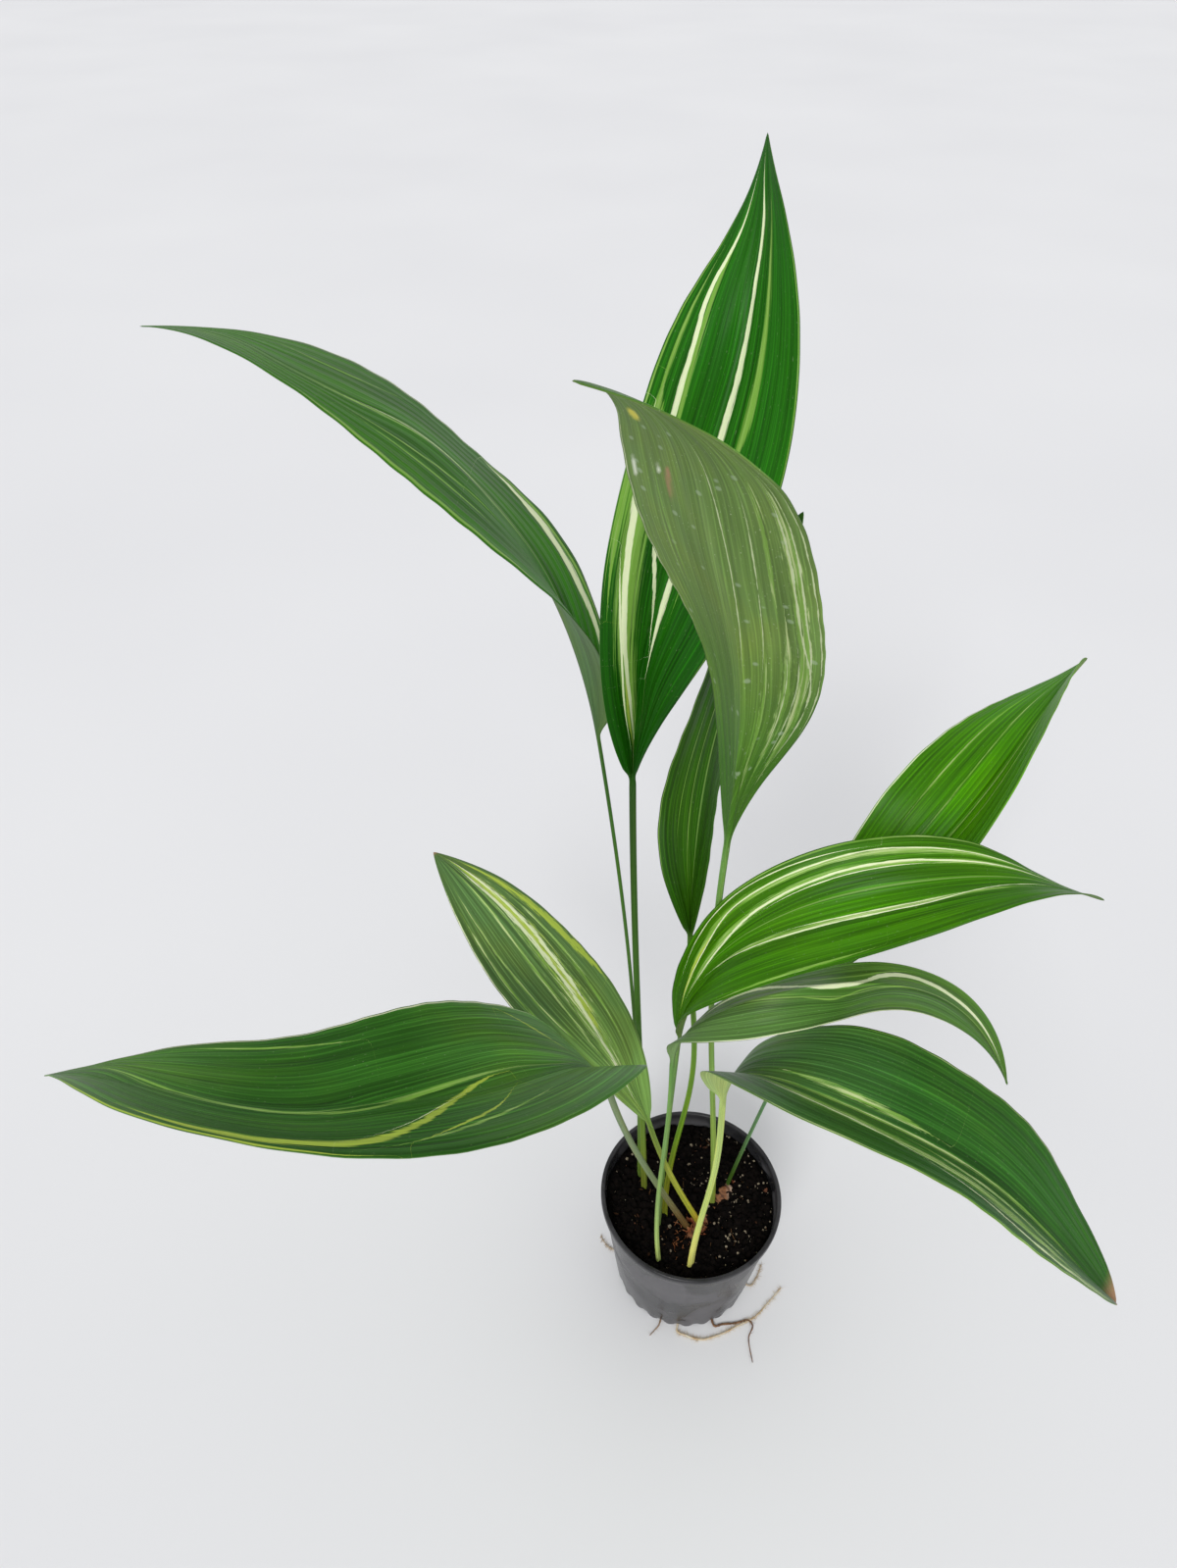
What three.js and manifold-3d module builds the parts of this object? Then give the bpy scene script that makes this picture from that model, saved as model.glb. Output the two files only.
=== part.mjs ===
// Potted cast iron plant: ten long leaves on channelled stalks, rising from one rhizome in a
// round nursery pot. Millimetres, +Z up, origin at the middle of the pot's flat base.
import * as THREE from 'three';
import Module from 'manifold-3d';

const wasm = await Module();
wasm.setup();

// Pot: height, outer radii, wall, and the band that stands out under the rim
const potHeight = 110;
const baseRadius = 51.5;
const neckRadius = 63;
const rimRadius = 65;
const wall = 1.3;
const floorThickness = 2;
const bandHeight = 6;
const notchCount = 24;
const notchWidth = 6.5;
const notchHeight = 3.2;

// Soil
const soilHeight = 98;
const clearance = 0.3;

// Leaves: skin of the blade and size of the stalk's section
const bladeThickness = 0.8;
const stalkFoot = 3.0;
const stalkTop = 2.1;
const buriedDepth = 9;
const bladeSteps = 22;
const stalkSteps = 9;
const acrossSteps = 6;

// Each leaf starts at its foot on the soil. stalk: length, rise and heading where it leaves the
// soil. rise and heading (degrees, 0 along +X) steer the blade from base to tip; roll turns it
// about its midrib; fold lifts both halves; drawn: how much its last quarter narrows to a fine
// point; wave: height, count and start of the edge waves.
const leaves = [
  { name: 'leaf_tall', foot: [-33, 9], stalk: [371, 87, 144], girth: 1,
    blade: 311, half: 40, taper: [0.92, 0.94], drawn: 0.13, rise: [81, 68, 62, 54],
    heading: [99, 48, 55, 97], roll: [25, -44, -19, 83],
    fold: [68, 33, 26, 14], wave: [2, 2.5, 0.2] },
  { name: 'leaf_left_high', foot: [-36, 20], stalk: [376, 79, 93], girth: 0.95,
    blade: 329, half: 46, taper: [1, 0.97], drawn: 0.3, rise: [80, 67, 46, 25, -4],
    heading: [145, 161, 170, 174, 168], roll: [-41, -20, -11, -9, -18],
    fold: [63, 22, -3, 0, 4], wave: [0.5, 3.6, 0.7] },
  { name: 'leaf_turned', foot: [16, -3], stalk: [371, 84, 108], girth: 0.9,
    blade: 345, half: 35, taper: [0.88, 0.85], drawn: 0.2, rise: [86, 77, 61, 52, 22],
    heading: [278, 251, 241, 247, 226], roll: [14, 14, 10, 7, 2],
    fold: [65, 33, 10, 5, -3], wave: [1.5, 2, 0.4] },
  { name: 'leaf_narrow', foot: [-19, -12], stalk: [271, 110, 274], girth: 0.9,
    blade: 253, half: 29, taper: [0.94, 0.87], drawn: 0.05, rise: [75, 73, 68, 66],
    heading: [99, 69, 45, 37], roll: [22, 39, 37, 3],
    fold: [60, 22, 12, 12], wave: [1.5, 2, 0.1] },
  { name: 'leaf_right_upper', foot: [-24, -19], stalk: [222, 89, 110], girth: 0.95,
    blade: 290, half: 29, taper: [1.04, 0.91], drawn: 0, rise: [89, 64, 30, 4, -26],
    heading: [-10, -4, -3, -1, 3], roll: [-2, -34, -42, -6, 49],
    fold: [54, 28, 11, 12, 6], wave: [1.5, 3, 0.3] },
  { name: 'leaf_right_back', foot: [28, 11], stalk: [211, 79, 28], girth: 0.8,
    blade: 296, half: 43, taper: [0.91, 0.88], drawn: 0, rise: [78, 52, 18, 3],
    heading: [10, 25, 49, 48], roll: [7, 4, 31, 67],
    fold: [44, 37, 37, 18], wave: [1.5, 2, 0.7] },
  { name: 'leaf_right_mid', foot: [-25, -44], stalk: [225, 82, 139], girth: 0.95,
    blade: 273, half: 23, taper: [1.04, 1.11], drawn: 0.35, rise: [92, 25, -31, -66],
    heading: [-31, 0, 3, -35], roll: [40, -3, -44, -80],
    fold: [35, -37, -53, -30], wave: [1.5, 2.5, 0] },
  { name: 'leaf_right_low', foot: [-3, -48], stalk: [192, 78, 80], girth: 1.1,
    blade: 314, half: 45, taper: [0.89, 0.87], drawn: 0, rise: [95, 30, -17, -43, -47],
    heading: [-68, -43, -21, -21, -11], roll: [0, 9, 9, 11, 4],
    fold: [24, 28, 28, 22, 36], wave: [2, 3, 0.5] },
  { name: 'leaf_left_short', foot: [7, -21], stalk: [142, 73, 221], girth: 1,
    blade: 234, half: 32, taper: [1.01, 0.9], drawn: 0, rise: [69, 45, 20, 9],
    heading: [136, 146, 134, 140], roll: [-5, -2, -2, -12],
    fold: [13, 1, -7, -2], wave: [1.5, 2, 0.2] },
  { name: 'leaf_left_low', foot: [-3, -21], stalk: [223, 68, 178], girth: 1.15,
    blade: 357, half: 47, taper: [0.58, 1], drawn: 0.34, rise: [78, 34, 21, -2, -38],
    heading: [226, 222, 198, 169, 154], roll: [-32, -4, -10, -22, -34],
    fold: [29, 20, 18, 11, 19], wave: [3, 2.5, 0.9] },
];

// Rhizome: centre line with radius, half out of the soil between the feet of the leaves
const rhizome = [
  [33, 9, 92, 4], [27, 6, 95, 6.5], [16, -3, 92, 6], [4, -21, 94, 6.5], [-6, -33, 92, 5.5],
  [-20, -26, 88, 5], [-26, -8, 86, 5], [-31, 12, 86, 4.5], [-36, 20, 85, 3],
];

// Roots: down from the rhizome to a drainage notch at the exit angle, then out over the floor
const roots = [
  { radius: 0.9, exit: -67.5, from: [[4, -21, 90], [12, -28, 45]],
    over: [[27, -50, 1], [38, -49, 1], [47, -47, 1], [50, -51, 1], [46, -60, 1], [47, -77, 1]] },
  { radius: 0.8, exit: -97.5, from: [[-6, -31, 90], [-8, -34, 45]],
    over: [[-1, -58, 1], [10, -61, 1], [26, -57, 1], [39, -51, 1], [52, -45, 1], [63, -35, 1],
      [75, -23, 1]] },
  { radius: 0.7, exit: -112.5, from: [[-20, -26, 86], [-20, -32, 45]],
    over: [[-24, -54, 1], [-28, -58, 1]] },
  { radius: 0.7, exit: -22.5, from: [[27, 6, 92], [34, -4, 45]], over: [[57, -15, 1], [62, -5, 1]] },
  { radius: 0.7, exit: 172.5, from: [[-31, 12, 84], [-34, 6, 45]], over: [[-59, 10, 1], [-64, 18, 1]] },
];

const colours = { pot: 0x2b2d2f, soil: 0x1d1713, rhizome: 0x8a6544, leaf: 0x2f6b2c };
const degree = Math.PI / 180;

function makeGeometry(positions, indices) {
  const geometry = new THREE.BufferGeometry();
  geometry.setAttribute('position', new THREE.Float32BufferAttribute(positions, 3));
  geometry.setIndex(indices);
  return geometry;
}

function toManifold(geometry) {
  const mesh = new wasm.Mesh({
    numProp: 3,
    vertProperties: new Float32Array(geometry.getAttribute('position').array),
    triVerts: new Uint32Array(geometry.getIndex().array),
  });
  return new wasm.Manifold(mesh);
}

function fromManifold(shape) {
  const mesh = shape.getMesh();
  const positions = [];
  for (let i = 0; i < mesh.vertProperties.length; i += mesh.numProp) {
    positions.push(mesh.vertProperties[i], mesh.vertProperties[i + 1], mesh.vertProperties[i + 2]);
  }
  return makeGeometry(positions, Array.from(mesh.triVerts));
}

// Skin over rings of equal count, closed at both ends by a point. The second half of a ring is
// the underside, split the same way as the face above it so that a thin blade keeps its thickness.
function loft(rings, firstPoint, lastPoint) {
  const count = rings[0].length;
  const positions = [];
  for (const point of [...rings.flat(), firstPoint, lastPoint]) {
    positions.push(point.x, point.y, point.z);
  }
  const first = rings.length * count;
  const indices = [];
  for (let j = 0; j < count; j += 1) {
    const next = (j + 1) % count;
    indices.push(first, next, j);
    for (let i = 0; i < rings.length - 1; i += 1) {
      const a = i * count + j;
      const b = i * count + next;
      if (j < count / 2) indices.push(a, b, b + count, a, b + count, a + count);
      else indices.push(a, b, a + count, b, b + count, a + count);
    }
    const top = (rings.length - 1) * count;
    indices.push(top + j, top + next, first + 1);
  }
  return makeGeometry(positions, indices);
}

// Turned body: profile of [radius, height] from axis to axis, outer side first
function revolve(profile, segments, shape = (point) => point) {
  const positions = [];
  const starts = [];
  for (const [radius, height] of profile) {
    starts.push(positions.length / 3);
    const count = radius === 0 ? 1 : segments;
    for (let j = 0; j < count; j += 1) {
      const angle = 2 * Math.PI * j / segments;
      const spot = [radius * Math.cos(angle), radius * Math.sin(angle), height];
      positions.push(...shape(spot));
    }
  }
  const at = (i, j) => starts[i] + (profile[i][0] === 0 ? 0 : j % segments);
  const indices = [];
  for (let i = 0; i < profile.length - 1; i += 1) {
    for (let j = 0; j < segments; j += 1) {
      if (profile[i][0] !== 0) indices.push(at(i, j), at(i, j + 1), at(i + 1, j));
      if (profile[i + 1][0] !== 0) indices.push(at(i, j + 1), at(i + 1, j + 1), at(i + 1, j));
    }
  }
  return makeGeometry(positions, indices);
}

// Smooth value through evenly spaced stations
function between(values, s) {
  const last = values.length - 1;
  const x = Math.min(Math.max(s, 0), 1) * last;
  const i = Math.min(Math.floor(x), last - 1);
  const t = x - i;
  const b = values[i];
  const c = values[i + 1];
  const a = i > 0 ? values[i - 1] : 2 * b - c;
  const d = i + 2 <= last ? values[i + 2] : 2 * c - b;
  return b + 0.5 * t * (c - a + t * (2 * a - 5 * b + 4 * c - d + t * (3 * b - a - 3 * c + d)));
}

function direction(rise, heading) {
  const flat = Math.cos(rise * degree);
  return new THREE.Vector3(flat * Math.cos(heading * degree), flat * Math.sin(heading * degree),
    Math.sin(rise * degree));
}

function bladeFrame(leaf, s) {
  const heading = between(leaf.heading, s) * degree;
  const along = direction(between(leaf.rise, s), between(leaf.heading, s));
  const level = new THREE.Vector3(Math.sin(heading), -Math.cos(heading), 0);
  const side = level.applyAxisAngle(along, -between(leaf.roll, s) * degree);
  return { along, side, up: new THREE.Vector3().crossVectors(side, along) };
}

// Centre line in short steps: stalk from s = -1 to 0, blade from s = 0 to 1
function centreLine(leaf, fine = 60) {
  const [length, rise, heading] = leaf.stalk;
  const point = new THREE.Vector3(leaf.foot[0], leaf.foot[1], soilHeight);
  const line = [point.clone()];
  const stalkAlong = (s) => direction(rise + (leaf.rise[0] - rise) * s,
    heading + (leaf.heading[0] - heading) * s);
  for (let i = 0; i < fine; i += 1) {
    point.addScaledVector(stalkAlong((i + 0.5) / fine), length / fine);
    line.push(point.clone());
  }
  for (let i = 0; i < fine; i += 1) {
    point.addScaledVector(bladeFrame(leaf, (i + 0.5) / fine).along, leaf.blade / fine);
    line.push(point.clone());
  }
  return (s) => {
    const x = Math.min(Math.max((s + 1) * fine, 0), 2 * fine);
    const i = Math.min(Math.floor(x), 2 * fine - 1);
    return line[i].clone().lerp(line[i + 1], x - i);
  };
}

// Channelled section of a stalk: flat grooved face up, round face down
function stalkRing(centre, side, up, radius) {
  const ring = [];
  for (let j = 0; j <= acrossSteps; j += 1) {
    const angle = Math.PI * (j + 0.5) / (acrossSteps + 1);
    const lift = 0.55 * Math.sin(angle) - 0.3 * Math.sin(angle) ** 6;
    ring.push(centre.clone().addScaledVector(side, -radius * Math.cos(angle))
      .addScaledVector(up, radius * lift));
  }
  for (let j = acrossSteps; j >= 0; j -= 1) {
    const angle = Math.PI * (j + 0.5) / (acrossSteps + 1);
    ring.push(centre.clone().addScaledVector(side, -radius * Math.cos(angle))
      .addScaledVector(up, -0.85 * radius * Math.sin(angle)));
  }
  return ring;
}

function halfWidth(leaf, s) {
  const [a, b] = leaf.taper;
  const peak = (a / (a + b)) ** a * (b / (a + b)) ** b;
  const drawn = 1 - leaf.drawn * THREE.MathUtils.smoothstep(s, 0.75, 1);
  return Math.max(leaf.half * s ** a * (1 - s) ** b / peak * drawn, 0.6);
}

// Section of the blade: two halves lifted by the fold, easing flatter toward the edges
function bladeRing(leaf, centre, frame, s) {
  const width = halfWidth(leaf, s);
  const fold = between(leaf.fold, s) * degree;
  const [waveHeight, waveCount, waveStart] = leaf.wave;
  const rib = (stalkTop * leaf.girth - bladeThickness) * Math.max(1 - 1.6 * s, 0);
  const top = [];
  const bottom = [];
  for (let j = 0; j <= acrossSteps; j += 1) {
    const u = 2 * j / acrossSteps - 1;
    const reach = Math.abs(u);
    const sign = Math.sign(u);
    const start = 1.2 * fold;
    const turn = -0.4 * fold;
    const slope = start + turn * reach;
    const even = Math.abs(turn) < 1e-4;
    const out = even ? reach * Math.cos(start) : (Math.sin(slope) - Math.sin(start)) / turn;
    const lift = even ? reach * Math.sin(start) : (Math.cos(start) - Math.cos(slope)) / turn;
    const phase = 2 * Math.PI * (waveCount * s + waveStart + 0.35 * sign);
    const wave = waveHeight * Math.sin(phase) * reach ** 2 * 4 * s * (1 - s);
    const spot = centre.clone().addScaledVector(frame.side, sign * width * out)
      .addScaledVector(frame.up, width * lift + wave);
    const tilt = sign * slope;
    const skin = frame.up.clone().multiplyScalar(Math.cos(tilt))
      .addScaledVector(frame.side, -Math.sin(tilt));
    const half = bladeThickness / 2;
    const inner = reach === 0 ? half / Math.max(Math.cos(fold), 0.5) : half;
    top.push(spot.clone().addScaledVector(skin, inner));
    bottom.unshift(spot.clone().addScaledVector(skin, -(reach === 0 ? half + rib : half)));
  }
  return [...top, ...bottom];
}

function makeLeaf(leaf) {
  const centre = centreLine(leaf);
  const base = bladeFrame(leaf, 0);
  const rings = [];
  const steps = [];
  const buried = buriedDepth / leaf.stalk[0];
  for (let i = 0; i <= stalkSteps; i += 1) steps.push(-1 + i / stalkSteps);
  let below = null;
  for (const s of [-1 - buried, ...steps]) {
    const near = Math.max(s, -1);
    const along = centre(near + 0.01).sub(centre(near)).normalize();
    const spot = centre(near).addScaledVector(along, (s - near) * leaf.stalk[0]);
    const side = base.side.clone().addScaledVector(along, -base.side.dot(along)).normalize();
    const up = new THREE.Vector3().crossVectors(side, along);
    const radius = leaf.girth * (stalkTop + (stalkFoot - stalkTop) * Math.max(-near, 0) ** 3);
    below = below ?? spot.clone().addScaledVector(along, -0.6);
    rings.push(stalkRing(spot, side, up, radius));
  }
  for (let i = 1; i < bladeSteps; i += 1) {
    const x = i / bladeSteps;
    const s = x - 0.06 * Math.sin(2 * Math.PI * x);
    const frame = bladeFrame(leaf, s);
    const spot = centre(s);
    const blade = bladeRing(leaf, spot, frame, s);
    const blend = THREE.MathUtils.smoothstep(s, 0, 0.05);
    const stem = stalkRing(spot, frame.side, frame.up, leaf.girth * stalkTop);
    rings.push(blade.map((point, j) => stem[j].lerp(point, blend)));
  }
  return loft(rings, below, centre(1));
}

// Round tube through points of [x, y, z, radius]
function tube(points, sides, steps, grow = 0) {
  const curve = new THREE.CatmullRomCurve3(points.map((p) => new THREE.Vector3(p[0], p[1], p[2])));
  const rings = [];
  const side = new THREE.Vector3(0.3, 0.2, 1).cross(curve.getTangent(0));
  for (let i = 0; i <= steps; i += 1) {
    const t = i / steps;
    const spot = curve.getPoint(t);
    const along = curve.getTangent(t);
    side.addScaledVector(along, -side.dot(along)).normalize();
    const up = new THREE.Vector3().crossVectors(along, side);
    const radius = between(points.map((p) => p[3]), t) + grow;
    const ring = [];
    for (let j = 0; j < sides; j += 1) {
      const angle = 2 * Math.PI * j / sides;
      ring.push(spot.clone().addScaledVector(side, radius * Math.cos(angle))
        .addScaledVector(up, radius * Math.sin(angle)));
    }
    rings.push(ring);
  }
  const ends = [curve.getPoint(0), curve.getPoint(1)];
  const slip = curve.getTangent(0).multiplyScalar(-0.3 - grow);
  return loft(rings, ends[0].add(slip), ends[1].addScaledVector(curve.getTangent(1), 0.3 + grow));
}

// Hole a stalk stands in
function stalkHole(leaf) {
  const along = direction(leaf.stalk[1], leaf.stalk[2]);
  const start = new THREE.Vector3(leaf.foot[0], leaf.foot[1], soilHeight);
  const radius = stalkFoot * leaf.girth + clearance + 0.15;
  const ends = [-buriedDepth - 1.2, -2, 6, 14].map((distance) => {
    const spot = start.clone().addScaledVector(along, distance);
    return [spot.x, spot.y, spot.z, radius];
  });
  return toManifold(tube(ends, 10, 3));
}

function makeRhizome(grow = 0) {
  let shape = toManifold(tube(rhizome, 10, 22, grow));
  for (const root of roots) {
    const angle = root.exit * degree;
    const notch = [[baseRadius - 7.5, 5], [baseRadius - 1.5, 1.7], [baseRadius + 4, 1.2]];
    const through = notch.map(([r, z]) => [r * Math.cos(angle), r * Math.sin(angle), z]);
    const line = [...root.from, ...through, ...root.over].map((p) => [...p, root.radius]);
    shape = shape.add(toManifold(tube(line, 5, 3 * line.length, grow)));
  }
  return shape;
}

function makePot() {
  const bandFoot = potHeight - bandHeight;
  const profile = [
    [0, 0], [baseRadius - 0.8, 0], [baseRadius, 0.8],
    [neckRadius, bandFoot], [rimRadius - 0.3, bandFoot + 0.4], [rimRadius, bandFoot + 1.2],
    [rimRadius, potHeight - 0.9], [rimRadius - 0.8, potHeight],
    [rimRadius - 2.2, potHeight], [rimRadius - 3, potHeight - 0.8],
    [neckRadius - wall, bandFoot], [baseRadius - wall + 0.4, floorThickness + 0.8],
    [baseRadius - wall - 0.4, floorThickness], [0, floorThickness],
  ];
  let pot = toManifold(revolve(profile, 48));
  for (let i = 0; i < notchCount; i += 1) {
    const angle = 2 * Math.PI * (i + 0.5) / notchCount;
    const arch = [];
    for (const reach of [baseRadius - 7, baseRadius + 3]) {
      const ring = [];
      for (const [x, z] of [[-1, -0.2], [1, -0.2], [0.7, 1], [-0.7, 1]]) {
        const across = x * notchWidth / 2;
        ring.push(new THREE.Vector3(reach * Math.cos(angle) - across * Math.sin(angle),
          reach * Math.sin(angle) + across * Math.cos(angle), z * notchHeight));
      }
      arch.push(ring);
    }
    const middle = arch.map((ring) => ring[0].clone().lerp(ring[2], 0.5));
    pot = pot.subtract(toManifold(loft(arch, middle[0], middle[1])));
  }
  return fromManifold(pot);
}

function makeSoil() {
  const gap = wall + clearance;
  const slope = (neckRadius - baseRadius) / (potHeight - bandHeight - 0.8);
  const wallAt = (height) => baseRadius + slope * (height - 0.8) - gap;
  const profile = [[0, floorThickness + clearance]];
  const foot = floorThickness + clearance + 2;
  profile.push([wallAt(foot) - 2, floorThickness + clearance], [wallAt(foot), foot]);
  const edge = soilHeight - 1;
  profile.push([wallAt(edge), edge]);
  for (const radius of [54, 45, 36, 27, 18, 9, 0]) profile.push([radius, soilHeight]);
  const heap = ([x, y, z]) => {
    if (z < soilHeight) return [x, y, z];
    const swell = Math.sin(0.17 * x + 1) * Math.sin(0.15 * y + 2.2)
      + 0.7 * Math.sin(0.45 * x - 0.31 * y) + 0.6 * Math.sin(0.38 * x + 0.52 * y + 1.3);
    return [x, y, z + 0.9 * swell];
  };
  let soil = toManifold(revolve(profile, 48, heap));
  for (const leaf of leaves) soil = soil.subtract(stalkHole(leaf));
  return fromManifold(soil.subtract(makeRhizome(clearance)));
}

const group = new THREE.Group();
group.name = 'potted_cast_iron_plant';

function addPart(name, geometry, colour, roughness) {
  const material = new THREE.MeshStandardMaterial({ color: colour, roughness, metalness: 0 });
  const mesh = new THREE.Mesh(geometry, material);
  mesh.name = name;
  group.add(mesh);
}

addPart('pot', makePot(), colours.pot, 0.4);
addPart('soil', makeSoil(), colours.soil, 0.95);
let stock = makeRhizome();
for (const leaf of leaves) stock = stock.subtract(stalkHole(leaf));
addPart('rhizome', fromManifold(stock), colours.rhizome, 0.7);
for (const leaf of leaves) addPart(leaf.name, makeLeaf(leaf), colours.leaf, 0.45);

export default group;
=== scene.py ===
# Potted cast iron plant: ten striped leaves on channelled stalks, rising from a creeping
# rhizome in a black nursery pot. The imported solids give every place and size; the finer forms
# and all the finishes are made here. Lengths are in millimetres until they reach Blender.
import math
import random
from functools import partial

import bmesh
import bpy
import numpy as np
from mathutils import Euler, Matrix, Vector, noise


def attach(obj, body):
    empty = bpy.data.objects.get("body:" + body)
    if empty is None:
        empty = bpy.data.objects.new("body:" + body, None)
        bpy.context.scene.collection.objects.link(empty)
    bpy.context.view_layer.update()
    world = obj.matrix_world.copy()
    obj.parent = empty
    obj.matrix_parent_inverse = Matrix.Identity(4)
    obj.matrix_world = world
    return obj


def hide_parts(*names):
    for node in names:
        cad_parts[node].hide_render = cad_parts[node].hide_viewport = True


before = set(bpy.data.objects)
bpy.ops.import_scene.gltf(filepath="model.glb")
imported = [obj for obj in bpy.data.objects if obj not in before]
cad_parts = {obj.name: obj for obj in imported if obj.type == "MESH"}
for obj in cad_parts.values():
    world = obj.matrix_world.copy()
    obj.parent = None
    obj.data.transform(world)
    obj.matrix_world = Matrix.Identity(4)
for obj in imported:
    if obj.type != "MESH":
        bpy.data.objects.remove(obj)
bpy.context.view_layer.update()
mm = 0.001
onColours = dict(out=2, data_type="RGBA")  # for a Mix node that blends colours
handful = 60  # small parts built at a time
scene = bpy.context.scene


# shared helpers

def linear(hexColour):  # sRGB hex to the linear colour a shader wants
    parts = [int(hexColour[i:i + 2], 16) / 255 for i in (1, 3, 5)]
    return (*(c / 12.92 if c <= 0.04045 else ((c + 0.055) / 1.055) ** 2.4 for c in parts), 1)


def addNode(tree, kind, inputs=(), out=0, **settings):
    # one shader node: its settings, then a value or a link for each input, by name or in order;
    # gives back the output asked for, or all of them for None
    node = tree.nodes.new("ShaderNode" + kind)
    for name, value in settings.items():
        setattr(node, name, value)
    inputs = inputs if isinstance(inputs, dict) else dict(enumerate(inputs))
    for socket, value in inputs.items():
        if isinstance(value, bpy.types.NodeSocket):
            tree.links.new(value, node.inputs[socket])
        else:
            node.inputs[socket].default_value = value
    return node.outputs if out is None else node.outputs[out]


def newFinish(name, **values):  # a material, what adds its nodes, and its shader with values set
    material = bpy.data.materials.new(name)
    material.use_nodes = True
    tree = material.node_tree
    shader = tree.nodes["Principled BSDF"]
    for socket, value in values.items():
        shader.inputs[socket.replace("_", " ")].default_value = value
    return material, partial(addNode, tree), shader


def feed(shader, **made):  # joins a finish's colour, gloss and relief to its shader
    for socket, output in made.items():
        shader.id_data.links.new(output, shader.inputs[socket.replace("_", " ")])


def toObject(bm, name):
    mesh = bpy.data.meshes.new(name)
    bm.to_mesh(mesh)
    bm.free()
    made = bpy.data.objects.new(name, mesh)
    scene.collection.objects.link(made)
    return made


def toPiece(bm, name, material, replaces=None, smooth=True):
    bmesh.ops.recalc_face_normals(bm, faces=bm.faces)
    for face in bm.faces:
        face.smooth = smooth
    piece = toObject(bm, name)
    piece.data.materials.append(material)
    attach(piece, "root")
    if replaces:
        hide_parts(replaces)
    return piece


def between(values, s):  # smooth value through evenly spaced stations
    values = np.asarray(values, float)
    last = len(values) - 1
    x = np.clip(np.asarray(s, float), 0, 1) * last
    i = np.minimum(x.astype(int), last - 1)
    t = x - i
    v = np.concatenate([[2 * values[0] - values[1]], values, [2 * values[-1] - values[-2]]])
    a, b, c, d = v[i], v[i + 1], v[i + 2], v[i + 3]
    return b + 0.5 * t * (c - a + t * (2 * a - 5 * b + 4 * c - d + t * (3 * b - a - 3 * c + d)))


def ease(x, low, high):  # smooth step from 0 at low to 1 at high
    t = np.clip((np.asarray(x, float) - low) / (high - low), 0, 1)
    return t * t * (3 - 2 * t)


def unit(v):
    return v / np.linalg.norm(v, axis=-1, keepdims=True)


def wrapGrid(bm, rings):
    # a grid rolled into a skin over rings, in mm; the first and the last ring may be points
    rows, columns = rings.shape[:2]
    verts = bmesh.ops.create_grid(bm, x_segments=columns, y_segments=rows - 1, size=0.5)["verts"]
    place = []
    for vert in verts:
        column = round((vert.co.x + 0.5) * columns) % columns
        row = round((vert.co.y + 0.5) * (rows - 1))
        place.append((vert, row, column))
        vert.co = rings[row, column] * mm
    return place


def smoothLine(points, steps):
    # centripetal curve through the points, so that a tight bend doesn't swing wide
    p = np.array(points, float)
    p = np.vstack([2 * p[0] - p[1], p, 2 * p[-1] - p[-2]])
    gaps = np.linalg.norm(np.diff(p[:, :3], axis=0), axis=1)
    knots = np.concatenate([[0], np.cumsum(gaps ** 0.5)])
    line = []
    for i in range(1, len(p) - 2):
        k = knots[i - 1:i + 3]
        t = np.linspace(k[1], k[2], steps, endpoint=i == len(p) - 3)[:, None]
        blend = lambda low, high, a, b: ((high - t) * a + (t - low) * b) / (high - low)
        first = [blend(k[j], k[j + 1], p[i - 1 + j], p[i + j]) for j in range(3)]
        second = [blend(k[j], k[j + 2], first[j], first[j + 1]) for j in range(2)]
        line.append(blend(k[1], k[2], *second))
    return np.vstack(line)


def tubeRings(line, radii, sides, knobs=None):  # rings round a line, carried along without twist
    along = unit(np.gradient(line, axis=0))
    side = np.cross([0.3, 0.2, 1.0], along[0])
    angles = 2 * np.pi * np.arange(sides) / sides
    rings = []
    for i, spot in enumerate(line):
        side = unit(side - along[i] * np.dot(side, along[i]))
        up = np.cross(along[i], side)
        spread = np.full(sides, radii[i]) if knobs is None else radii[i] * (1 + knobs(i, angles))
        ring = np.cos(angles)[:, None] * side + np.sin(angles)[:, None] * up
        rings.append(spot + spread[:, None] * ring)
    ends = [line[0] - along[0] * radii[0] * 0.4, line[-1] + along[-1] * radii[-1] * 0.4]
    poles = [np.tile(end, (sides, 1)) for end in ends]
    return np.array([poles[0], *rings, poles[1]])


def closeSkin(bm):  # joins the seam and draws each end together
    bmesh.ops.remove_doubles(bm, verts=bm.verts, dist=2e-7)


def turned(profile, around):  # a body turned round the upright axis from half its section, in mm
    bm = bmesh.new()
    verts = [bm.verts.new((r * mm, 0, z * mm)) for r, z in profile]
    edges = [bm.edges.new(pair) for pair in zip(verts, verts[1:])]
    bmesh.ops.spin(bm, geom=verts + edges, cent=(0, 0, 0), axis=(0, 0, 1), angle=2 * math.pi,
                   steps=around, use_merge=True)
    closeSkin(bm)
    return bm


def gather(bm, part):  # moves a part into bm: many small ones build faster than one that grows
    mesh = bpy.data.meshes.new("part")
    part.to_mesh(mesh)
    part.free()
    bm.from_mesh(mesh)
    bpy.data.meshes.remove(mesh)


# leaves

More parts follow.
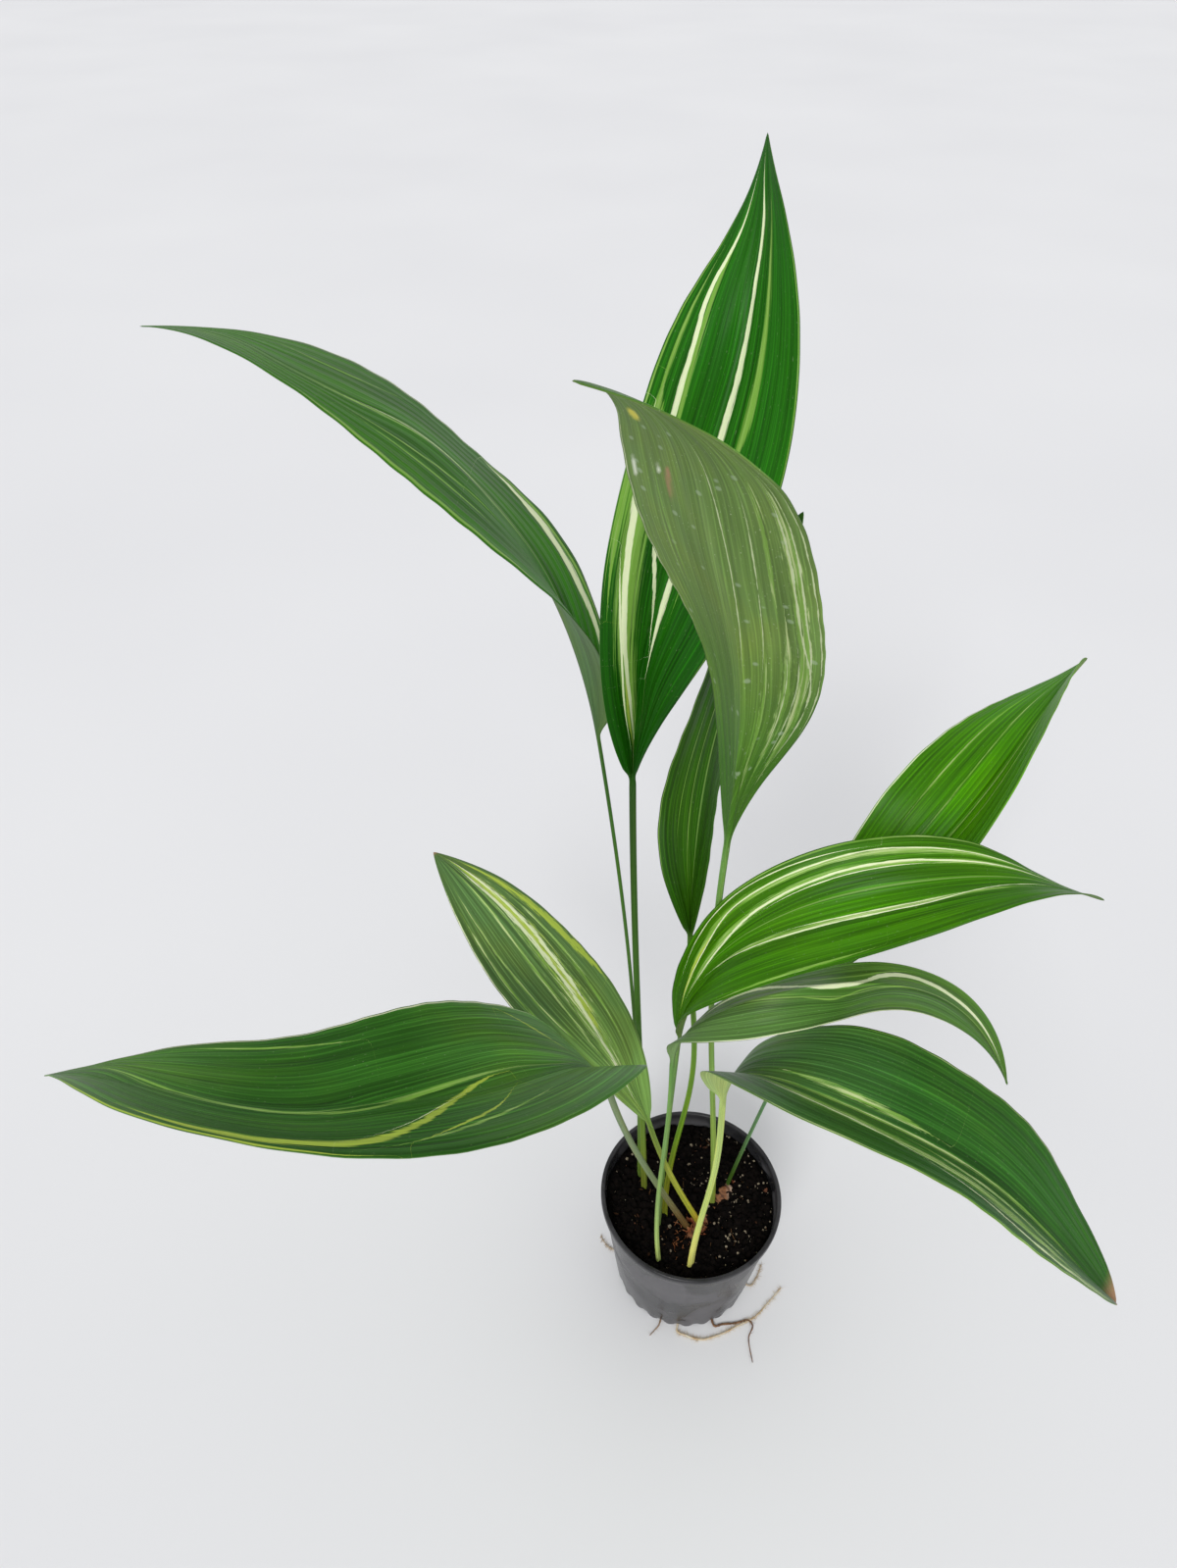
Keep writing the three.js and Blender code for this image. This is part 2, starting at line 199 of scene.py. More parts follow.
# Each leaf's form: foot on the soil; stalk (length, rise and heading at the soil); blade length,
# half width and taper; how far the tip is drawn in; rise, heading, roll and fold along the blade;
# wave of its edge (height, number, where it begins). Its look: tone and under (upper and lower
# face); stalkTones from foot to blade; near, far and underNear (how red, green and blue change
# toward base and tip, where they do; on some leaves a paler, bluer tint there is painted sheen,
# the grey cast of reflected light); midrib (where the middle vein runs, in hundredths of the
# half width, if not down the middle); fan (where the veins stop spreading); mottle (how broken
# the streaks are); spots (pale flecks); dryTip in mm. Its streaks by colour: half width in mm,
# then where each begins and ends and its places across the blade, in hundredths. Its marks:
# colour, place across and along, half width and half length in mm.
leaves = {
    "leaf_tall": dict(
        foot=(-33, 9), stalk=(371, 87, 144), girth=1, blade=311, half=40, taper=(0.92, 0.94),
        drawn=0.13, rise=(81, 68, 62, 54), heading=(99, 48, 55, 97), roll=(25, -44, -19, 83),
        fold=(68, 33, 26, 14), wave=(2, 2.5, 0.2),
        tone="#1c5d09", under="#56753c", stalkTones=("#6b7a2e", "#4f7a2c", "#2f5020"),
        near=(0.55, 0.65, 0.6),
        midrib=(60, 45, 17, 11, 10, 10, 11, 10, 2, -6, -40), fan=0.5, mottle=0.15,
        cream=[(1.7, 20, 100, (14, 10, 9, 10, 11, 10, 2, -6, -50)),
            (1.3, 24, 98, (10, -10, -36, -55, -60, -63, -70, -62, -80)),
            (1.9, 3, 62, (45, -5, -30, -50, -62, -70, -77, -82, -86)),
            (0.9, 5, 42, (-12, -42, -55, -70, -84))],
        lime=[(1.3, 50, 92, (-48, -53, -57, -63, -58)),
            (6.5, 2, 66, (45, -5, -30, -50, -60, -68, -74, -80, -84)),
            (1.6, 30, 62, (-90, -93, -93)), (1.5, 50, 95, (30, 40, 41, 38, 45)),
            (0.9, 55, 85, (-83, -85)), (0.4, 30, 97, (-97.5, -97.5)), (0.3, 20, 95, (98.5, 98.5)),
            (0.5, 30, 40, (25, 24))],
        gold=[(1.6, 3, 30, (20, -25, -42, -55))]),
    "leaf_left_high": dict(
        foot=(-36, 20), stalk=(376, 79, 93), girth=0.95, blade=329, half=46, taper=(1, 0.97),
        drawn=0.3, rise=(80, 67, 46, 25, -4), heading=(145, 161, 170, 174, 168),
        roll=(-41, -20, -11, -9, -18), fold=(63, 22, -3, 0, 4), wave=(0.5, 3.6, 0.7),
        tone="#2c6404", under="#4f6b44", stalkTones=("#55702a", "#4b762c", "#3f6a2a"),
        near=(1.1, 1.4, 1), far=(1.3, 1.05, 2),
        midrib=(0, 0, 5, 10, 10, 10, 5, -30, -35, 30, 50), fan=0.35, mottle=0.2,
        cream=[(3.3, 6, 50, (80, 80, 74, 80, 95)), (0.35, 45, 72, (3, 10, -5, -36)),
            (0.4, 45, 90, (98, 98))],
        lime=[(1.4, 10, 52, (94, 94, 88, 92, 99)), (0.8, 32, 80, (8, 6, 5, 9, 0, -20, -38, -40)),
            (0.8, 60, 85, (90, 50, 40, 75)), (0.7, 38, 72, (-20, -25, -40, -60)),
            # the last streak below, running from 80 to 98, is a painted highlight on the fold near
            # the tip
            (0.6, 40, 70, (-45, -50, -60)), (0.8, 80, 98, (-60, 0, 50)),
            (1.2, 30, 80, (-93, -95))]),
    "leaf_turned": dict(
        foot=(16, -3), stalk=(371, 84, 108), girth=0.9, blade=345, half=35, taper=(0.88, 0.85),
        drawn=0.2, rise=(86, 77, 61, 52, 22), heading=(278, 251, 241, 247, 226),
        roll=(14, 14, 10, 7, 2), fold=(65, 33, 10, 5, -3), wave=(1.5, 2, 0.4),
        tone="#406d22", under="#658242", stalkTones=("#879c42", "#78994a", "#6c9a4e"),
        underNear=(0.4, 0.68, 0.3),
        midrib=(20, 20, 20, 20, 18, 13, 9, 5, 0, 0), fan=0.3, mottle=1, spots=1,
        cream=[(0.4, 14, 80, (-74, -83, -87, -85, -76, -75, -76, -76, -78)),
            (0.3, 30, 82, (-78, -84, -83, -84, -85, -83)), (0.25, 15, 50, (-60, -66, -70, -68)),
            (0.2, 36, 86, (0, -5, -10, -10, -12)), (0.2, 36, 78, (-24, -32, -38, -42)),
            (0.2, 15, 50, (-45, -55, -56)), (0.25, 20, 85, (-97, -96, -95)),
            (0.2, 30, 90, (98, 98))],
        lime=[(2, 10, 80, (-70, -76, -78, -79)), (1.6, 10, 55, (-40, -55, -60)),
            (1, 5, 45, (-10, -25, -33)), (0.8, 50, 85, (-50, -55, -60)), (0.5, 50, 80, (60, 62))],
        marks=[("white", 0.73, 0.79, 0.5, 12), ("white", 0.77, 0.765, 0.5, 5),
               ("tan", 0.44, 0.715, 0.7, 11), ("tan", 0.42, 0.74, 0.9, 4),
               ("yellow", 0.68, 0.855, 2.8, 5), ("white", 0.88, 0.72, 0.4, 6),
               ("white", 0.55, 0.74, 0.4, 3)]),
    "leaf_narrow": dict(
        foot=(-19, -12), stalk=(271, 110, 274), girth=0.9, blade=253, half=29, taper=(0.94, 0.87),
        drawn=0.05, rise=(75, 73, 68, 66), heading=(99, 69, 45, 37), roll=(22, 39, 37, 3),
        fold=(60, 22, 12, 12), wave=(1.5, 2, 0.1),
        tone="#254f08", under="#54713c", stalkTones=("#7a8226", "#679022", "#5f8a3a"),
        midrib=(0, 0, -2, -5, -8, -10, -5, 0, 0), fan=0.35, mottle=0.15,
        lime=[(0.2, 10, 70, (-15, -30, -33)), (0.15, 20, 60, (-50, -55)),
            (0.25, 10, 90, (-97, -97))]),
    "leaf_right_upper": dict(
        foot=(-24, -19), stalk=(222, 89, 110), girth=0.95, blade=290, half=29, taper=(1.04, 0.91),
        drawn=0, rise=(89, 64, 30, 4, -26), heading=(-10, -4, -3, -1, 3),
        roll=(-2, -34, -42, -6, 49), fold=(54, 28, 11, 12, 6), wave=(1.5, 3, 0.3),
        tone="#356b02", under="#607f40", stalkTones=("#77904e", "#5c7f3a", "#6f9850"),
        midrib=(-30, -33, -25, -20, -15, -13, -12, -13, -20, -35, -40), fan=0.6, mottle=0.45,
        dryTip=1,
        cream=[(0.33, 20, 94, (-14, 3, 17, 26, 31, 34, 33, 16, -6, -15)),
            (0.25, 40, 78, (12, 22, 27, 28, 20)),
            (0.55, 14, 97, (-26, -25, -32, -44, -49, -52, -53, -50, -54, -61, -62)),
            (0.28, 38, 72, (-38, -43, -45, -44)),
            (0.36, 10, 94, (-37, -45, -55, -73, -76, -76, -78, -75, -73, -78, -82)),
            (0.25, 16, 62, (-70, -86, -92, -88, -83))],
        lime=[(1.05, 22, 90, (-10, 10, 23, 30, 31, 20, 2)),
            (1.3, 12, 95, (-30, -28, -40, -48, -52, -50, -50, -58, -60)),
            (1.24, 12, 90, (-42, -55, -74, -73, -74, -70, -72, -76)), (0.62, 20, 60, (95, 92, 90)),
            (0.31, 30, 90, (-97, -97))],
        gold=[(1.4, 8, 34, (-36, -45, -56, -68))]),
    "leaf_right_back": dict(
        foot=(28, 11), stalk=(211, 79, 28), girth=0.8, blade=296, half=43, taper=(0.91, 0.88),
        drawn=0, rise=(78, 52, 18, 3), heading=(10, 25, 49, 48), roll=(7, 4, 31, 67),
        fold=(44, 37, 37, 18), wave=(1.5, 2, 0.7),
        tone="#3f7e02", under="#608435", stalkTones=("#3f6020", "#5c8458", "#4f7a40"),
        fan=0.3, mottle=0.4, dryTip=1,
        cream=[(0.3, 10, 90, (-98.5, -98.5))],
        lime=[(0.8, 42, 80, (28, 42, 50, 42)), (0.6, 5, 95, (0, 0)), (0.2, 10, 90, (98.5, 98.5)),
            (0.5, 40, 90, (-30, -35)), (0.5, 40, 90, (-60, -62))]),
    "leaf_right_mid": dict(
        foot=(-25, -44), stalk=(225, 82, 139), girth=0.78, blade=273, half=23, taper=(1.04, 1.11),
        drawn=0.35, rise=(92, 25, -31, -66), heading=(-31, 0, 3, -35), roll=(40, -3, -44, -80),
        fold=(35, -37, -53, -30), wave=(1.5, 2.5, 0),
        tone="#436b28", under="#6d8a54", stalkTones=("#9db368", "#7f9f5c", "#5f8c44"),
        # near: the paler, bluer base is painted sheen, the grey cast of reflected light
        near=(1.8, 1.35, 2.4),
        midrib=(-20, -20, -10, 0, 20, 36, 0, -10, -5, 0, 0), fan=0.3, mottle=0.1,
        cream=[(1.8, 12, 96, (-25, -60, -78, -82, -78, -62, -30, -3, 2, -6, -36, -55, -60, -56,
             -48, -42, -36, -28, -17, 0)), (0.3, 10, 90, (98.5, 98.5))],
        lime=[(0.5, 32, 85, (0, 20, 40, 12, -3, -9, -8, -5)),
            (0.7, 36, 68, (-75, -45, -42, -66, -85)), (0.2, 20, 90, (-98.5, -98.5))]),
    "leaf_right_low": dict(
        foot=(-3, -48), stalk=(192, 78, 80), girth=1.1, blade=314, half=45, taper=(0.89, 0.87),
        drawn=0, rise=(95, 30, -17, -43, -47), heading=(-68, -43, -21, -21, -11),
        roll=(0, 9, 9, 11, 4), fold=(24, 28, 28, 22, 36), wave=(2, 3, 0.5),
        tone="#2b5c1c", under="#94aa69", stalkTones=("#cfd074", "#b4c872", "#a9c070"),
        # near: the paler, bluer base is painted sheen, the grey cast of reflected light
        near=(3.2, 1.65, 4.2), far=(0.9, 1, 0.7),
        fan=0.35, mottle=0.8, dryTip=12,
        cream=[(0.9, 18, 52, (26, 36, 39, 45, 62)), (0.6, 46, 92, (55, 72, 84, 93, 96)),
            (0.35, 50, 80, (28, 36, 52))],
        lime=[(3.2, 20, 82, (20, 32, 42, 52, 65, 84)), (1.6, 44, 84, (14, 26, 34, 50, 66)),
            (1.6, 22, 55, (-20, -15, -10)), (0.6, 10, 90, (-2, -2)), (0.4, 10, 95, (98, 98)),
            (0.2, 10, 95, (-98.5, -98.5)), (2.2, 60, 96, (80, 88, 90))]),
    "leaf_left_short": dict(
        foot=(7, -21), stalk=(142, 73, 221), girth=1, blade=234, half=32, taper=(1.01, 0.9),
        drawn=0, rise=(69, 45, 20, 9), heading=(136, 146, 134, 140), roll=(-5, -2, -2, -12),
        fold=(13, 1, -7, -2), wave=(1.5, 2, 0.2),
        tone="#53743f", under="#6b874b", stalkTones=("#b99a34", "#a3a636", "#6f8a3c"),
        near=(2, 1.8, 1.4),
        midrib=(-30, -25, -12, -5, 0, 3, 6, 8, 10, 12), fan=0.35, mottle=1, dryTip=2,
        cream=[(1.2, 8, 96, (-48, -30, -13, -3, 9, 15, 20, 21, 22, 20, 25)),
            (1.3, 36, 99, (17, 27, 35, 40, 40, 45)), (0.3, 10, 95, (-98.5, -98.5))],
        lime=[(4.6, 10, 98, (-36, -14, 5, 20, 28, 32, 34)),
            (0.7, 20, 95, (-38, -34, -23, -17, -12, -7, -5)), (0.7, 25, 80, (45, 60, 65)),
            (0.6, 30, 90, (-55, -62)), (0.6, 30, 85, (-78, -82))],
        gold=[(3.4, 30, 98, (2, 14, 24, 30, 33, 35, 40)), (2.4, 40, 96, (95, 88, 84, 75))]),
    "leaf_left_low": dict(
        foot=(-3, -21), stalk=(223, 68, 178), girth=1.15, blade=357, half=47, taper=(0.58, 1),
        drawn=0.34, rise=(78, 34, 21, -2, -38), heading=(226, 222, 198, 169, 154),
        roll=(-32, -4, -10, -22, -34), fold=(29, 20, 18, 11, 19), wave=(3, 2.5, 0.9),
        tone="#2c5c19", under="#6b8454", stalkTones=("#6a5634", "#74825c", "#6b8060"),
        # near and far: the paler, bluer base and tip are painted sheen, the grey cast of reflected
        # light
        near=(3.2, 2.1, 4.2), far=(2.8, 1.65, 3.8),
        midrib=(0, 10, 8, 15, 12, 0, -20, -17, 5, 60, 80), fan=0.35, mottle=0.3,
        cream=[(0.3, 36, 56, (8, -18, -50, -76)), (0.3, 10, 95, (98.5, 98.5))],
        lime=[(1, 28, 93, (15, 15, 10, 0, -17, -22, -18, -6, 12, 45, 95)),
            (0.8, 50, 80, (72, 82, 90)), (0.7, 25, 55, (-35, -60, -90))],
        gold=[(2.1, 30, 80, (12, 10, 0, -20, -45, -65, -78, -82, -86, -87, -86, -84, -82)),
            (1.2, 30, 50, (-5, -40, -60, -82)), (2.2, 13, 27, (25, 50, 78, 97)),
            (0.9, 50, 96, (-97, -98))]),
}
# Counts and millimetres. Shoulder, channel and belly shape the stalk's section, in its radii; a
# blade is splay times as steep at the midrib as its fold, and flattens outward; keelEnds and
# joinEnds are places along the blade.
leafBuild = dict(across=48, stalkRows=40, bladeRows=120, skin=0.25, stalkFoot=2.25, stalkTop=1.9,
                 soilHeight=98, buried=9, shoulder=0.55, channel=0.3, belly=0.85, splay=1.2,
                 flatten=0.4, thinnest=0.6, ripple=0.22, rippleLength=23, keelHalf=1.7,
                 keelEnds=0.8, groove=0.2, grooveHalf=1.1, joinEnds=0.05, patternGap=53)
streakBuild = dict(most=9, absent=60, taper=0.14, thinnest=0.04)


def direction(rise, heading):
    r, h = np.radians(rise), np.radians(heading)
    return np.stack([np.cos(r) * np.cos(h), np.cos(r) * np.sin(h), np.sin(r) + 0 * h], -1)


def bladeFrame(leaf, s):  # along the midrib, across it, and out of its upper face
    h = np.radians(between(leaf["heading"], s))
    roll = np.radians(between(leaf["roll"], s))[..., None]
    along = direction(between(leaf["rise"], s), between(leaf["heading"], s))
    level = np.stack([np.sin(h), -np.cos(h), 0 * h], -1)
    side = level * np.cos(roll) + np.cross(level, along) * np.sin(roll)
    return along, side, np.cross(side, along)


def centreLine(leaf, fine=60):  # stalk from s = -1 to 0, blade from 0 to 1
    length, rise, heading = leaf["stalk"]
    k = (np.arange(fine) + 0.5) / fine
    stalk = direction(rise + (leaf["rise"][0] - rise) * k,
                      heading + (leaf["heading"][0] - heading) * k)
    steps = [[(*leaf["foot"], leafBuild["soilHeight"])], stalk * length / fine,
             bladeFrame(leaf, k)[0] * leaf["blade"] / fine]
    return np.cumsum(np.vstack(steps), axis=0)


def leafRings(leaf, number):
    # the skin's rings from foot to tip, each ring's place along the leaf, and round a ring the
    # place across the leaf and which face it is on: 1 above, -1 below
    b = leafBuild
    k, length, girth = b["across"], leaf["stalk"][0], leaf["girth"]
    line = centreLine(leaf)
    stations = np.linspace(-1, 1, len(line))
    spots = lambda s: np.stack([np.interp(s, stations, line[:, i]) for i in range(3)], -1)
    half = 2 * np.arange(k + 1) / k - 1
    u = np.concatenate([half, half[::-1]])
    top = np.concatenate([np.ones(k + 1), -np.ones(k + 1)])

    # stalk: round below, channelled above
    angle = np.pi * (np.arange(k + 1) + 0.5) / (k + 1)
    aside = np.concatenate([-np.cos(angle), -np.cos(angle[::-1])])
    raised = np.concatenate([b["shoulder"] * np.sin(angle) - b["channel"] * np.sin(angle) ** 6,
                             -b["belly"] * np.sin(angle[::-1])])
    section = lambda spot, side, up, radius: (
        spot[:, None] + side[:, None] * (radius[:, None] * aside)[..., None]
        + up[:, None] * (radius[:, None] * raised)[..., None])
    sStalk = np.concatenate([[-1 - b["buried"] / length], np.linspace(-1, 0, b["stalkRows"])])
    near = np.maximum(sStalk, -1)
    along = unit(spots(near + 0.01) - spots(near))
    spot = spots(near) + along * ((sStalk - near) * length)[:, None]
    base = bladeFrame(leaf, np.zeros(1))[1]
    side = unit(base - along * (base * along).sum(-1, keepdims=True))
    swell = (b["stalkFoot"] - b["stalkTop"]) * np.maximum(-near, 0) ** 3
    stalk = section(spot, side, np.cross(side, along), girth * (b["stalkTop"] + swell))
    firstPole = spot[0] - along[0] * 0.6

    # blade: two halves lifted from the midrib, easing flatter toward wavy edges
    x = np.arange(1, b["bladeRows"]) / b["bladeRows"]
    s = x - 0.06 * np.sin(2 * np.pi * x)
    along, side, up = bladeFrame(leaf, s)
    spot = spots(s)
    p, q = leaf["taper"]
    peak = (p / (p + q)) ** p * (q / (p + q)) ** q
    width = leaf["half"] * s ** p * (1 - s) ** q / peak * (1 - leaf["drawn"] * ease(s, 0.75, 1))
    width = np.maximum(width, b["thinnest"])
    fold = np.radians(between(leaf["fold"], s))[:, None]
    reach, sign = np.abs(u), np.sign(u)
    start = b["splay"] * fold
    turn = np.where(np.abs(fold) < 2.5e-4, -1e-4, -b["flatten"] * fold)
    slope = start + turn * reach
    out = (np.sin(slope) - np.sin(start)) / turn
    lift = (np.cos(start) - np.cos(slope)) / turn
    swell = (4 * s * (1 - s))[:, None]
    size, count, begin = leaf["wave"]
    wave = np.sin(2 * np.pi * (count * s[:, None] + begin + 0.35 * sign))
    turns = s[:, None] * leaf["blade"] / b["rippleLength"] + 0.31 * number + 0.2 * sign
    ripple = np.sin(2 * np.pi * turns + 3 * np.sin(9 * s[:, None] + number))
    edge = (size * wave * reach ** 2 + b["ripple"] * ripple * reach ** 5) * swell
    tilt = sign * slope
    skinOut = up[:, None] * np.cos(tilt)[..., None] - side[:, None] * np.sin(tilt)[..., None]

    # a keel under the midrib and a groove above it, both running out toward the tip
    fromRib = np.abs(u) * width[:, None]
    keel = (b["stalkTop"] * girth - 2 * b["skin"]) * np.exp(-(fromRib / b["keelHalf"]) ** 2)
    keel = keel * np.maximum(1 - s / b["keelEnds"], 0)[:, None]
    groove = b["groove"] * (1 - s)[:, None] * np.exp(-(fromRib / b["grooveHalf"]) ** 2)
    thick = np.where(top > 0, b["skin"] - groove * ease(fromRib, -1, 0.2), -b["skin"] - keel)
    blade = (spot[:, None] + side[:, None] * (sign * width[:, None] * out)[..., None]
             + up[:, None] * (width[:, None] * lift + edge)[..., None]
             + skinOut * thick[..., None])
    stem = section(spot, side, up, np.full(len(s), girth * b["stalkTop"]))
    blend = ease(s, 0, b["joinEnds"])[:, None, None]
    blade = stem * (1 - blend) + blade * blend

    poles = [np.tile(pole, (1, 2 * k + 2, 1)) for pole in (firstPole, line[-1])]
    rings = np.concatenate([poles[0], stalk, blade, poles[1]])
    return rings, np.concatenate([[sStalk[0]], sStalk, s, [1.0]]), u, top


def veinPlace(leaf, s, u):
    # where the veins put a point across the blade: they leave the midrib and spread
    middle = between(leaf.get("midrib", (0, 0)), s) / 100
    away = (u - middle) / (1 - middle * np.sign(u - middle))
    spread = np.where(s < 0, 1, 0.4 + 0.6 * ease(s, 0, leaf["fan"]))
    return np.sign(away) * np.abs(away) ** spread


def streakOffsets(leaf, kind, s, u):
    # how far aside each streak of a kind lies, in its own half widths
    b = streakBuild
    offsets = np.full((*s.shape, b["most"]), float(b["absent"]))
    for i, (halfWidth, begin, end, places) in enumerate(leaf.get(kind, ())):
        begin, end = begin / 100, end / 100
        centre = between(places, (s - begin) / (end - begin)) / 100
        taper = np.minimum(ease(s, begin, begin + b["taper"]), 1 - ease(s, end - b["taper"], end))
        aside = (u - centre) * leaf["half"] / (halfWidth * np.maximum(taper, b["thinnest"]))
        offsets[..., i] = np.where(taper > 0, aside, b["absent"])
    return offsets


def leafTones(leaf, s, top):  # stalk from foot to blade, then upper and lower face with tints
    stops = np.array([linear(leaf["stalkTones"][j])[:3] for j in (0, 0, 1, 2)])
    onStalk = np.stack([np.interp(s, [-0.97, -0.92, -0.68, 0], stops[:, i]) for i in range(3)], -1)
    plain, faces = (1, 1, 1), []
    for tone, near, far in ((leaf["tone"], leaf.get("near", plain), leaf.get("far", plain)),
                            (leaf["under"], leaf.get("underNear", plain), plain)):
        # near and far tints; on some leaves they paint a grey sheen of reflected light into the
        # colour
        tint = [np.interp(s, [0.16, 0.46, 0.66, 0.9], [near[i], 1, 1, far[i]]) for i in range(3)]
        faces.append(linear(tone)[:3] * np.stack(tint, -1))
    share = (1 - ease(s, -0.02, 0.05))[..., None]
    return onStalk * share + np.where(top[None, :, None] > 0, *faces) * (1 - share)


def makeLeaf(name, leaf, number, material):
    rings, s, u, top = leafRings(leaf, number)
    s, u = s[:, None] + 0 * u, u + 0 * s[:, None]
    ribbon = veinPlace(leaf, s, u) * leaf["half"]
    grainAlong = np.where(s < 0, s * leaf["stalk"][0], s * leaf["blade"])
    offsets = {kind: streakOffsets(leaf, kind, s, u) for kind in ("cream", "lime", "gold")}
    tone = leafTones(leaf, s, top)
    scars = {"tan": 0 * s, "white": 0 * s, "yellow": 0 * s}
    dryTip = leaf.get("dryTip", 0)
    if dryTip:
        fromBase = leaf["blade"] - dryTip * 1.6, leaf["blade"] - dryTip * 0.4
        scars["tan"] = ease(grainAlong, *fromBase)
    for kind, markU, markS, markHalf, markLong in leaf.get("marks", []):
        aside = (u - markU) * leaf["half"] / markHalf
        along = (s - markS) * leaf["blade"] / markLong
        scars[kind] = np.maximum(scars[kind], 1 - ease(np.hypot(aside, along), 0.7, 1.4))

    bm = bmesh.new()
    vectors = bm.verts.layers.float_vector
    grainLayer, scarLayer, skinLayer = (vectors.new(key) for key in ("grain", "scar", "skin"))
    toneLayer = bm.verts.layers.float_color.new("tone")
    streakLayers = [(vectors.new(kind + str(part)), kind, 3 * part)
                    for kind in offsets for part in range(3)]
    for vert, i, j in wrapGrid(bm, rings):
        vert[grainLayer] = (ribbon[i, j], grainAlong[i, j], leafBuild["patternGap"] * number)
        vert[scarLayer] = [scars[kind][i, j] for kind in ("tan", "white", "yellow")]
        vert[skinLayer] = (max(top[j], 0), leaf["mottle"], leaf.get("spots", 0))
        vert[toneLayer] = (*tone[i, j], 1)
        for layer, kind, first in streakLayers:
            vert[layer] = offsets[kind][i, j, first:first + 3]
    closeSkin(bm)
    return toPiece(bm, name + "_blade", material, name)


